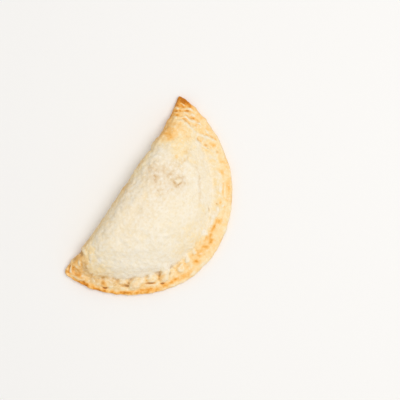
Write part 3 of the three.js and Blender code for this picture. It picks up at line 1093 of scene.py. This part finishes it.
    # Spots of dry toasting, some of them painted shade, in the same way, or below 0 spots that
    # stayed pale, one of them a painted highlight.
    toast_and_shade_spots: tuple[Mark, ...] = (
        # Toasted, towards the slim horn.
        Mark(48.0, -4.0, 10.0, 4.0, 0, 0.14), Mark(41.0, -23.9, 3.4, 3.0, 0, 0.34),
        Mark(35.0, -25.4, 9.0, 2.6, 16, 0.18),
        # Toasted, about the blisters.
        Mark(25.3, -31.9, 4.0, 3.0, 0, 0.26), Mark(24.4, -28.0, 1.8, 3.0, 0, 0.2),
        Mark(23.0, -23.0, 24.0, 16.0, 0, 0.18), Mark(22.7, -18.2, 4.6, 1.6, -36, 0.36),
        Mark(22.4, -22.8, 3.6, 1.6, 40, 0.36), Mark(20.0, -34.0, 12.0, 8.0, 0, 0.14),
        Mark(19.4, -30.4, 2.4, 4.4, 0, 0.3), Mark(18.2, -11.0, 4.4, 2.6, 0, 0.34),
        Mark(18.0, -17.0, 8.0, 6.0, 0, 0.16), Mark(17.0, -14.0, 20.0, 12.0, 0, 0.1),
        Mark(16.3, -15.5, 1.5, 1.5, 0, 0.7), Mark(14.4, -17.3, 2.4, 2.4, 0, 0.3),
        Mark(14.0, -26.0, 20.0, 14.0, 0, 0.12), Mark(13.2, -27.9, 1.6, 1.6, 0, 0.3),
        Mark(13.0, -18.7, 3.0, 2.0, -35, 0.24), Mark(9.6, -22.5, 1.6, 1.6, 0, 0.3),
        # Toasted, on the rest of the dome.
        Mark(-1.0, -5.0, 14.0, 5.0, 0, 0.16), Mark(-8.0, -21.0, 40.0, 18.0, 0, 0.1),
        Mark(-8.3, -63.7, 6.0, 4.0, 0, 0.14),
        # Toasting towards the blunt horn, with painted shade in the creases beside its small
        # folds.
        Mark(-42.6, -3.6, 4.0, 3.0, 0, 0.2), Mark(-52.6, -2.6, 5.0, 2.0, -61, 1.0),
        Mark(-54.6, -38.1, 5.0, 1.4, 61, 0.5), Mark(-55.6, -8.0, 4.6, 3.0, -33, 0.7),
        Mark(-57.4, -32.3, 6.0, 5.0, -33, 0.22), Mark(-57.5, -21.5, 12.0, 6.0, 56, 0.2),
        Mark(-57.7, -1.4, 3.0, 2.6, 0, 0.5), Mark(-58.8, -10.6, 5.0, 3.2, -33, 0.7),
        Mark(-60.0, -12.0, 16.0, 14.0, 0, 0.16), Mark(-61.4, -17.0, 8.0, 3.0, -60, 0.6),
        Mark(-66.6, -7.0, 5.6, 3.0, -60, 0.4),
        # Pale, with a painted highlight on the top of the largest blister.
        Mark(26.5, -5.4, 5.0, 3.0, 0, -0.3), Mark(22.3, -5.0, 3.0, 2.6, 0, -0.3),
        Mark(22.0, -30.0, 2.6, 2.2, 0, -0.5), Mark(17.7, -6.1, 5.0, 3.4, 0, -0.4),
        Mark(10.9, -4.6, 5.0, 3.0, 0, -0.3), Mark(-41.7, -5.7, 4.0, 3.0, 0, -0.3),
    )
    # Painted shade in the groove between the dome and the rope, in the toasting tint: lengths
    # along the rim, share.
    groove: tuple[tuple[float, float], ...] = (
        (120, 0.0), (150, 0.12), (188, 0.14), (192, 0.4), (201, 0.6), (205, 0.0), (226, 0.0),
    )
    # Painted shade over the rope, in the same tint and way.
    pads: tuple[tuple[float, float], ...] = (
        (150, 0.08), (176, 0.16), (186, 0.28), (204, 0.34), (220, 0.04),
    )
    groove_width: float = 0.9
    pads_width: float = 3.0
    fold_toast_and_shade: float = 0.16  # how much toasting and painted shade the fold's edge carries
    dry_reach: float = 2.6
    dry_slim: float = 0.08  # and how much more towards the slim horn
    dry_slim_from: tuple[float, float] = (30.0, 44.0)
    dry_slim_to: tuple[float, float] = (60.0, 66.0)
    painted_flank_shade: float = 0.1  # painted shade on the dome's flank above it
    flank_shade_reach: float = 11.0
    dry_horns: tuple[float, float] = (0.45, 0.7)  # but not where a horn is this brown
    dry_line: float = 0.28  # and the line in the dome
    shaded: float = 0.35  # the share of the toasting spots, painted shade among them, kept at the foot of the upright back
    shaded_to: tuple[float, float] = (1.0, 7.0)
    dome_crease_shade: float = 0.4  # how dark the painted crease shade is on the smooth dome, as a share
    dome_smooth: tuple[float, float] = (14.0, 22.0)
    raised_highlight: float = 0.46  # painted highlight: how much paler dough that stands out is painted
    standing_out: tuple[float, float] = (0.0, 0.6)
    pad_highlight: float = 0.4  # and the rope's pads, as a share of that
    lumps_from: tuple[float, float] = (138.0, 150.0)
    lumps_to: tuple[float, float] = (203.0, 210.0)
    blunt_highlight: float = 0.55  # and at the blunt horn
    blunt_from: tuple[float, float] = (203.0, 212.0)
    hollow_brown_and_shade: float = 0.16  # how much browner the hollows are: partly browning, partly painted shade
    lying_low: tuple[float, float] = (0.08, 0.5)
    flap_brown_and_shade: float = 0.21  # and between the flaps at the slim horn
    flaps_to: tuple[float, float] = (45.0, 65.0)
    off_rim: float = 0.3  # and away from the rim, as a share
    rim_zone: tuple[float, float] = (10.0, 18.0)  # depths between which the rim's zone ends
    horn_zone: tuple[float, float] = (0.2, 0.5)  # browning from which a horn belongs to it
    stray: float = 5.0  # how far browning runs astray down the upright back
    stray_feature: float = 7.0
    stray_lean: float = 0.5  # and to one side, as a share
    stray_back: tuple[float, float] = (0.5, 3.0)  # distances from the back where that ends
    stray_below: tuple[float, float] = (1.5, 6.5)  # heights where it ends

    def strayed(self, points: Array) -> tuple[Array, Array]:
        """Gives flat places, astray down the back, where heat crept up from the sheet.

        Args:
            points: Places on the skin.

        Returns:
            X and Y, with X moved on the back's lower part.
        """
        x, y, z = np.moveaxis(points, -1, 0)
        back = 1.0 - ramp(self.outline.fold.y(x) - y, *self.stray_back)
        below = 1.0 - ramp(z, *self.stray_below)
        astray = Unevenness(Seed.STRAY).layered(points, self.stray_feature, 2)
        return x + self.stray * (astray - self.stray_lean * below) * back * below, y

    def bands(self, along: Array, depth: Array) -> Array:
        """Gives the browning that the distance from the rim brings.

        Args:
            along: Lengths along the rim.
            depth: Depths inwards from it.

        Returns:
            One value for each place.
        """
        flange, crimps, foot = (
            np.interp(along, *zip(*band)) for band in (self.flange, self.crimps, self.foot)
        )
        inner = depth - self.rope.centre(along)
        total = mix(flange, crimps, ramp(inner, *self.to_crimps))
        total = mix(total, foot, ramp(inner, *self.to_foot))
        return mix(total, self.dome, ramp(inner, *self.to_dome))

    def horns(self, x: Array, y: Array) -> Array:
        """Gives the browning of the two horns."""
        distances = ((np.hypot(x - heat[0], y - heat[1]), *heat[2:]) for heat in self.heats)
        return sum(most * bump(distance, reach) for distance, reach, most in distances)

    def golden(self, points: Array, hollow: Array, raised: Array) -> Array:
        """Gives the whole browning, with painted highlights on raised dough and painted shade in
        hollows.

        Args:
            points: Places on the skin.
            hollow: How far they lie below their neighbours, in millimetres.
            raised: How far they stand above a wider neighbourhood, in millimetres.

        Returns:
            One value for each point.
        """
        x, y = self.strayed(points)
        along, depth = self.outline.rim.worked(x, y)
        horns = self.horns(x, y)
        uneven = Unevenness(Seed.BANDS).at(points, self.bands_feature)
        total = np.maximum(self.bands(along, depth + uneven), horns)
        total += sum(patch.soft(along, depth) for patch in self.patches)
        total += sum(spot.soft(x, y) for spot in self.spots)
        total += self.at_fold(x, y) * (1.0 - ramp(horns, *self.burnt))
        slim_side = np.maximum(np.cos(along / self.outline.rim.mean_radius), 0.0)
        at_edge = np.exp(-depth / self.edge_reach) * slim_side
        total += self.edge * at_edge * (1.0 - ramp(horns, *self.dark))
        total += self.underside * (1.0 - ramp(points[..., 2], *self.underside_to))
        near_rim = np.maximum(1.0 - ramp(depth, *self.rim_zone), ramp(horns, *self.horn_zone))
        # painted highlight: raised dough near the rim is painted paler
        total *= 1.0 - self.highlight_share(along) * ramp(raised, *self.standing_out) * near_rim
        # hollows are painted browner, partly browning and partly painted shade
        browns = mix(self.flap_brown_and_shade, self.hollow_brown_and_shade, ramp(along, *self.flaps_to))
        total += browns * ramp(hollow, *self.lying_low) * mix(self.off_rim, 1.0, near_rim)
        return np.clip(total, 0.0, 1.0)

    def at_fold(self, x: Array, y: Array) -> Array:
        """Gives the browning of the fold's edge, partly painted shade on the steep back.

        Args:
            x: Places along the fold.
            y: Places behind the middle of the fold.

        Returns:
            One value for each place.
        """
        most = self.fold + self.fold_slim * ramp(x, *self.fold_slim_from)
        reach = mix(self.fold_reach, self.fold_slim_reach, ramp(x, *self.fold_narrows))
        return most * bump(self.outline.fold.y(x) - y, reach)

    def highlight_share(self, along: Array) -> Array:
        """Gives how strongly dough that stands out is painted paler, as a highlight.

        Args:
            along: Lengths along the rim.

        Returns:
            One share for each place.
        """
        on_rope = ramp(along, *self.lumps_from) * (1.0 - ramp(along, *self.lumps_to))
        share = mix(1.0, self.pad_highlight, on_rope)
        share *= mix(1.0, self.blunt_highlight, ramp(along, *self.blunt_from))
        return self.raised_highlight * share

    def creases(self, points: Array, hollow: Array) -> Array:
        """Gives the hollow that painted crease shade and painted highlights are read from: how
        deep each place lies, less on the smooth dome.
        """
        _, depth = self.outline.rim.place(points[..., 0], points[..., 1])
        return hollow * mix(1.0, self.dome_crease_shade, ramp(depth, *self.dome_smooth))

    def toast_and_shade(self, points: Array) -> Array:
        """Gives the dry dough's toasting without turning golden, and the painted shade laid in
        its tint by the fold, round the rope and in creases.

        Args:
            points: Places on the skin.

        Returns:
            One value for each point.
        """
        x, y = self.strayed(points)
        along, depth = self.outline.rim.worked(x, y)
        total = sum(toast_and_shade_tint.soft(x, y) for toast_and_shade_tint in self.toast_and_shade_spots)
        total *= mix(self.shaded, 1.0, ramp(points[..., 2], *self.shaded_to))
        total += sum(blister.ring(x, y) for blister in self.blisters)
        from_fold = self.outline.fold.y(x) - y
        at_slim = ramp(x, *self.dry_slim_from) * (1.0 - ramp(x, *self.dry_slim_to))
        off_horns = 1.0 - ramp(self.horns(x, y), *self.dry_horns)
        # painted shade along the fold's edge and up the flank, in the toasting tint, partly real
        # toasting
        edge = self.fold_toast_and_shade + self.dry_slim * at_slim
        total += edge * bump(from_fold, self.dry_reach) * off_horns
        total += self.painted_flank_shade * bump(from_fold, self.flank_shade_reach) * off_horns
        across = depth - self.rope.centre(along)
        groove, pads = (np.interp(along, *zip(*band)) for band in (self.groove, self.pads))
        # painted shade in the groove behind the rope and over the rope
        total += groove * bump(across - self.rope.groove_behind, self.groove_width)
        total += pads * bump(across, self.pads_width)
        return np.maximum(total + self.dry_line * self.line.soft(along, depth), 0.0)


@dataclass(frozen=True)
class Crust:
    """Short pastry of wheat flour, fat and water, rolled, crimped and baked pale.

    Dry flour scatters light evenly, so it looks matte and creamy. Where it has
    browned, fat has come to the surface and it is golden and a little glossier.
    """

    # From dough that only dried, through golden, to nearly burnt.
    shades: tuple[tuple[float, str], ...] = (
        (0.0, "#f5ecda"), (0.15, "#f3e4c6"), (0.3, "#f7dfaf"), (0.5, "#fad191"),
        (0.7, "#f6ba64"), (0.85, "#e6982e"), (1.0, "#c4740e"),
    )
    # flour flecks, and the painted highlight on raised dough
    flour: str = "#f8eedc"
    # tint of dry toasting and pores, and of the painted shade laid in the toasting layer
    toast_and_shade_tint: str = "#c99d5f"
    # colour of the painted shade in creases, partly browning
    crease_shade: str = "#9c6a3c"
    roughness: float = 0.74
    gold_roughness: float = 0.55
    ior: float = 1.45
    specular: float = 0.3  # the flaky skin shades its own highlights
    mottle_mm: float = 2.4  # flour and fat gather in patches this wide
    cloud_mm: float = 11.0  # broad drifts of paler and darker dough
    cloudiness: float = 0.4  # their share beside the patches
    fleck_mm: float = 1.5  # flecks of dry flour, and pores between them
    grain_mm: float = 0.9  # grain of the dry skin
    flake_mm: float = 2.0  # thin flakes that the bake lifted
    grain_depth_mm: float = 0.26
    flakiness: float = 0.45  # the flakes' share beside the grain
    gold_swing: float = 0.18  # how unevenly the browning takes
    gold_spots: float = 0.5
    toast_and_shade_swing: float = 0.8  # how unevenly the toasting and its painted shade lie
    most_noise: tuple[float, float] = (0.3, 0.7)  # bounds between which nearly all noise lies
    # Each layer sets in between two bounds, and has a most that it reaches.
    proud: tuple[float, float] = (-0.06, -0.6)  # dough that stands out keeps its flour, and is painted paler as a highlight
    dust_and_highlight: float = 0.3
    floury: tuple[float, float] = (0.75, 0.3)  # and none is left where it has browned
    flecked: tuple[float, float] = (0.56, 0.7)
    flecks: float = 0.5
    pored: tuple[float, float] = (0.44, 0.3)
    pores: float = 0.12
    crease_shade_depths: tuple[float, float] = (0.2, 1.1)  # painted shade, partly browning, darkens creases from this deep
    crease_shade_most: float = 0.7
    browned: tuple[float, float] = (0.1, 0.9)  # browning that brings the fat to the surface

    def material(self) -> bpy.types.Material:
        """Builds the crust's material.

        Returns:
            The material, which reads the skin's golden, toast_and_shade and hollow attributes,
            and paints shade and highlights from them.
        """
        made = bpy.data.materials.new("baked_dough")
        made.use_nodes = True
        tree = made.node_tree
        place = add(tree, "TexCoord", output="Object")
        mottle = add(tree, "TexNoise", Vector=place, Scale=per_metre(self.mottle_mm), Detail=4.0)
        cloud = add(tree, "TexNoise", Vector=place, Scale=per_metre(self.cloud_mm), Detail=2.0)
        drift = add(tree, "Mix", Factor=self.cloudiness, A=mottle, B=cloud)
        baked = self.baked(tree, drift)
        colour = add(tree, "ValToRGB", Fac=baked, stops=dict(self.shades))
        for share, tint in self.layers(tree, place, drift, baked):
            colour = add(tree, "Mix", data_type="RGBA", Factor=share, A=colour, B=linear(tint))
        rough = span(*self.browned, self.roughness, self.gold_roughness)
        shader = tree.nodes["Principled BSDF"]
        shader.inputs["IOR"].default_value = self.ior
        shader.inputs["Specular IOR Level"].default_value = self.specular
        tree.links.new(colour, shader.inputs["Base Color"])
        tree.links.new(add(tree, "MapRange", rough, Value=baked), shader.inputs["Roughness"])
        tree.links.new(self.grained(tree, place), shader.inputs["Normal"])
        return made

    def layers(self, tree: bpy.types.NodeTree, place: bpy.types.NodeSocket,
               drift: bpy.types.NodeSocket,
               baked: bpy.types.NodeSocket) -> list[tuple[bpy.types.NodeSocket, str]]:
        """Makes what lies over the browning: toasting with painted shade, flour with painted
        highlights, flecks, pores and painted crease shade.

        Args:
            tree: The material's nodes.
            place: Where on the crust.
            drift: Noise about a half.
            baked: The browning.

        Returns:
            How much of each layer shows, and its colour, from the lowest to the topmost.
        """
        smoothly = {"interpolation_type": "SMOOTHSTEP"}
        toast_and_shade = add(tree, "Attribute", output="Fac", attribute_name="toast_and_shade")
        hollow = add(tree, "Attribute", output="Fac", attribute_name="hollow")
        fleck = add(tree, "TexNoise", Vector=place, Scale=per_metre(self.fleck_mm), Detail=2.0)
        swing = span(*self.most_noise, 1.0 - self.toast_and_shade_swing, 1.0 + self.toast_and_shade_swing)
        swing = add(tree, "MapRange", swing, Value=drift)
        toast_and_shade = add(tree, "Math", {0: toast_and_shade, 1: swing}, operation="MULTIPLY")
        pale = add(tree, "MapRange", span(*self.floury, 0.0, 1.0), Value=baked, **smoothly)
        # flour dust on dough that stands out, partly a painted highlight
        flour = span(*self.proud, 0.0, self.dust_and_highlight)
        flour = add(tree, "MapRange", flour, Value=hollow, **smoothly)
        flour = add(tree, "Math", {0: flour, 1: pale}, operation="MULTIPLY")
        flecks = span(*self.flecked, 0.0, self.flecks)
        flecks = add(tree, "MapRange", flecks, Value=fleck, **smoothly)
        flecks = add(tree, "Math", {0: flecks, 1: pale}, operation="MULTIPLY")
        pores = add(tree, "MapRange", span(*self.pored, 0.0, self.pores), Value=fleck, **smoothly)
        # painted shade: creases are darkened towards the crease shade colour
        dark = span(*self.crease_shade_depths, 0.0, self.crease_shade_most)
        dark = add(tree, "MapRange", dark, Value=hollow, **smoothly)
        shares = (toast_and_shade, flour, flecks, pores, dark)
        return list(zip(shares, (self.toast_and_shade_tint, self.flour, self.flour, self.toast_and_shade_tint, self.crease_shade)))

    def baked(self, tree: bpy.types.NodeTree,
              drift: bpy.types.NodeSocket) -> bpy.types.NodeSocket:
        """Makes the browning uneven.

        Args:
            tree: The material's nodes.
            drift: Noise about a half.

        Returns:
            The browning, from 0, cream, to 1, deep brown.
        """
        golden = add(tree, "Attribute", output="Fac", attribute_name="golden")
        swing = span(*self.most_noise, 1.0 - self.gold_swing, 1.0 + self.gold_swing)
        swing = add(tree, "MapRange", swing, Value=drift)
        spots = add(tree, "Math", {0: drift, 1: 0.5}, operation="SUBTRACT")
        browned = add(tree, "Math", {0: golden, 1: swing}, operation="MULTIPLY")
        spots = {0: spots, 1: self.gold_spots, 2: browned}
        return add(tree, "Math", spots, operation="MULTIPLY_ADD")

    def grained(self, tree: bpy.types.NodeTree,
                place: bpy.types.NodeSocket) -> bpy.types.NodeSocket:
        """Makes the grain and the flakes of the dry skin.

        Args:
            tree: The material's nodes.
            place: Where on the crust.

        Returns:
            The bumped normal.
        """
        grain = add(tree, "TexNoise", Vector=place, Scale=per_metre(self.grain_mm), Detail=3.0)
        flake = add(tree, "TexVoronoi", Vector=place, Scale=per_metre(self.flake_mm))
        height = add(tree, "Mix", Factor=self.flakiness, A=grain, B=flake)
        deep = self.grain_depth_mm * MM
        return add(tree, "Bump", Height=height, Strength=1.0, Distance=deep)


def linear(colour: str) -> tuple[float, float, float, float]:
    """Turns an sRGB hex colour into linear light.

    Args:
        colour: Such as #f4ead8.

    Returns:
        Red, green, blue and an alpha of 1.
    """
    parts = [int(colour[n : n + 2], 16) / 255 for n in (1, 3, 5)]
    red, green, blue = (
        part / 12.92 if part <= 0.04045 else ((part + 0.055) / 1.055) ** 2.4 for part in parts
    )
    return red, green, blue, 1.0


def per_metre(size: float) -> float:
    """Gives the texture scale that makes features of a size in millimetres."""
    return 1.0 / (size * MM)


def span(low: float, high: float, start: float, end: float) -> dict[str, float]:
    """Names the bounds of a range and of the range it is turned into."""
    return {"From Min": low, "From Max": high, "To Min": start, "To Max": end}


def add(tree: bpy.types.NodeTree, kind: str, inputs: dict | None = None,
        output: str | None = None, stops: dict | None = None,
        **more: object) -> bpy.types.NodeSocket:
    """Adds a node with its settings and links.

    Args:
        tree: Where it goes.
        kind: Blender's name for the node, less its ShaderNode.
        inputs: Sockets or values for its inputs, by name or number.
        output: Which output is wanted, or the first that the node's mode has.
        stops: The hex colours of a colour ramp by place.
        more: The node's own properties, and inputs whose names are plain words.

    Returns:
        The output.
    """
    node = tree.nodes.new("ShaderNode" + kind)
    links = dict(inputs or {})
    for name, value in more.items():
        if name[0].islower():
            setattr(node, name, value)
        else:
            links[name] = value
    open_inputs = {socket.name: socket for socket in node.inputs if socket.enabled}
    for name, value in links.items():
        socket = node.inputs[name] if isinstance(name, int) else open_inputs[name]
        if isinstance(value, bpy.types.NodeSocket):
            tree.links.new(value, socket)
        else:
            socket.default_value = value
    for number, (place, colour) in enumerate((stops or {}).items()):
        band = node.color_ramp.elements  # a new ramp has two stops already
        stop = band[number] if number < 2 else band.new(place)
        stop.position = place
        stop.color = linear(colour)
    if output:
        return node.outputs[output]
    return next(socket for socket in node.outputs if socket.enabled)


@dataclass
class Empanada:
    """The whole empanada: its skin, its relief and its baked crust."""

    skin: Skin = field(default_factory=Skin)
    hollow_rounds: int = 20  # how widely heights are evened out, to tell what lies below that
    raised_rounds: int = 60  # and to tell what stands above it
    blisters: tuple[Blister, ...] = (
        Blister(22.0, -30.0, 1.9, 0.9, 0.4), Blister(18.4, -15.2, 1.4, 0.5, 0.1),
        Blister(22.4, -8.8, 1.8, 0.4, 0.1), Blister(17.9, -7.7, 1.5, 0.4, 0.1),
        Blister(15.8, -27.5, 1.6, 0.4, 0.06), Blister(10.1, -20.6, 1.4, 0.35, 0.06),
        Blister(9.9, -28.5, 1.3, 0.3, 0.0),
    )
    line: Mark = Mark(72.0, 21.4, 40.0, 1.7)  # a faint line in the dome, inside the rope

    def build(self) -> bpy.types.Object:
        """Makes the piece that stands for the CAD solid.

        Returns:
            The dressed mesh object.
        """
        outline = self.skin.outline
        loops, lift = self.skin.loops()
        normals = normals_of(loops)
        relief = Relief(outline, self.blisters, self.line).height(loops, normals)
        loops = loops + normals * relief[..., None]
        loops[..., 2] = np.maximum(loops[..., 2], 0.0)
        lift = lift + relief
        hollow = evened(lift, self.hollow_rounds) - lift
        raised = lift - evened(lift, self.raised_rounds)
        baking = Baking(outline, self.skin.rope, self.blisters, self.line)
        golden = baking.golden(loops, hollow, raised)
        toast_and_shade = baking.toast_and_shade(loops)
        # the hollow attribute carries the painted crease shade, and the painted highlight of
        # flour on raised dough
        hollow = baking.creases(loops, hollow)
        piece = self.mesh(loops, {"golden": golden, "toast_and_shade": toast_and_shade, "hollow": hollow})
        piece.data.materials.append(Crust().material())
        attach(piece, BODY)
        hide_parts(NODE)
        return piece

    def mesh(self, loops: Array, values: dict[str, Array]) -> bpy.types.Object:
        """Closes the loops into one mesh.

        Args:
            loops: Points, by section and by place round the section.
            values: Attributes, one value for each of those points.

        Returns:
            The mesh object, in metres about the part's origin.
        """
        count = loops.shape[1]
        inner = loops[1:-1].reshape(-1, 3)
        noses = loops[[0, -1], 0]
        points = np.concatenate([inner, noses])
        points[:, :2] -= self.skin.outline.middle()
        here = np.arange(len(inner)).reshape(-1, count)
        ahead = np.roll(here, -1, axis=1)
        quads = np.stack([here[:-1], ahead[:-1], ahead[1:], here[1:]], axis=-1)
        faces = quads.reshape(-1, 4).tolist()
        blunt, slim = len(inner), len(inner) + 1
        faces += [[blunt, int(b), int(a)] for a, b in zip(here[0], ahead[0])]
        faces += [[slim, int(a), int(b)] for a, b in zip(here[-1], ahead[-1])]
        mesh = bpy.data.meshes.new(PIECE)
        mesh.from_pydata((points * MM).tolist(), [], faces)
        for name, value in values.items():
            inside = value[1:-1].reshape(-1)
            ends = value[[0, -1], 0]
            made = mesh.attributes.new(name, "FLOAT", "POINT")
            made.data.foreach_set("value", np.concatenate([inside, ends]).astype(np.float32))
        mesh.polygons.foreach_set("use_smooth", np.ones(len(mesh.polygons), dtype=bool))
        mesh.update()
        piece = bpy.data.objects.new(PIECE, mesh)
        bpy.context.scene.collection.objects.link(piece)
        return piece


@dataclass(frozen=True)
class Studio:
    """A pale floor, soft light and a camera straight above."""

    floor_size: float = 6.0  # metres, as the lamp's size and place are
    floor_colour: str = "#f3f1ee"
    floor_roughness: float = 0.9
    sky: float = 0.575
    key_power: float = 10.1
    key_size: float = 1.0
    key_place: tuple[float, float, float] = (0.26, -0.26, 1.3)
    lens: float = 100.0  # millimetres, as the sensor's width is
    sensor: float = 36.0
    view_width: float = 264.0  # millimetres across the view, at the rim's height
    view_height: float = 5.0
    aim: tuple[float, float] = (20.1, -11.0)  # millimetres from the part's origin
    roll: float = -56.46  # degrees that the camera is turned

    def floor(self) -> bpy.types.Object:
        """Makes the floor that the empanada lies on.

        Returns:
            The floor, which is only part of the scene.
        """
        half = self.floor_size / 2
        mesh = bpy.data.meshes.new("floor")
        corners = [(-half, -half, 0), (half, -half, 0), (half, half, 0), (-half, half, 0)]
        mesh.from_pydata(corners, [], [(0, 1, 2, 3)])
        floor = bpy.data.objects.new("floor", mesh)
        bpy.context.scene.collection.objects.link(floor)
        made = bpy.data.materials.new("matt_white_card")
        made.use_nodes = True
        shader = made.node_tree.nodes["Principled BSDF"]
        shader.inputs["Base Color"].default_value = linear(self.floor_colour)
        shader.inputs["Roughness"].default_value = self.floor_roughness
        mesh.materials.append(made)
        return floor

    def light(self) -> None:
        """Lights the scene with an even sky and one large soft lamp."""
        world = bpy.data.worlds.new("studio")
        bpy.context.scene.world = world
        world.use_nodes = True
        back = world.node_tree.nodes["Background"]
        back.inputs["Color"].default_value = (1.0, 1.0, 1.0, 1.0)
        back.inputs["Strength"].default_value = self.sky
        lamp = bpy.data.lights.new("softbox", "AREA")
        lamp.shape = "DISK"
        lamp.size = self.key_size
        lamp.energy = self.key_power
        key = bpy.data.objects.new("softbox", lamp)
        key.location = self.key_place
        key.rotation_euler = (-Vector(self.key_place)).to_track_quat("-Z", "Y").to_euler()
        bpy.context.scene.collection.objects.link(key)

    def camera(self) -> None:
        """Hangs the camera straight above, turned so that the fold runs slantwise."""
        lens = bpy.data.cameras.new("camera")
        lens.lens = self.lens
        lens.sensor_width = self.sensor
        camera = bpy.data.objects.new("camera", lens)
        height = self.view_width * self.lens / self.sensor + self.view_height
        camera.location = (self.aim[0] * MM, self.aim[1] * MM, height * MM)
        camera.rotation_euler = (0.0, 0.0, math.radians(self.roll))
        bpy.context.scene.collection.objects.link(camera)
        bpy.context.scene.camera = camera
        bpy.context.scene.view_settings.view_transform = "Standard"


def main() -> None:
    """Builds the studio and the empanada."""
    logging.basicConfig(level=logging.INFO, format="%(name)s: %(message)s")
    studio = Studio()
    studio.camera()
    studio.light()
    for piece in (studio.floor(), Empanada().build()):
        log.info("%s: %d faces", piece.name, len(piece.data.polygons))


if __name__ == "__main__":
    main()
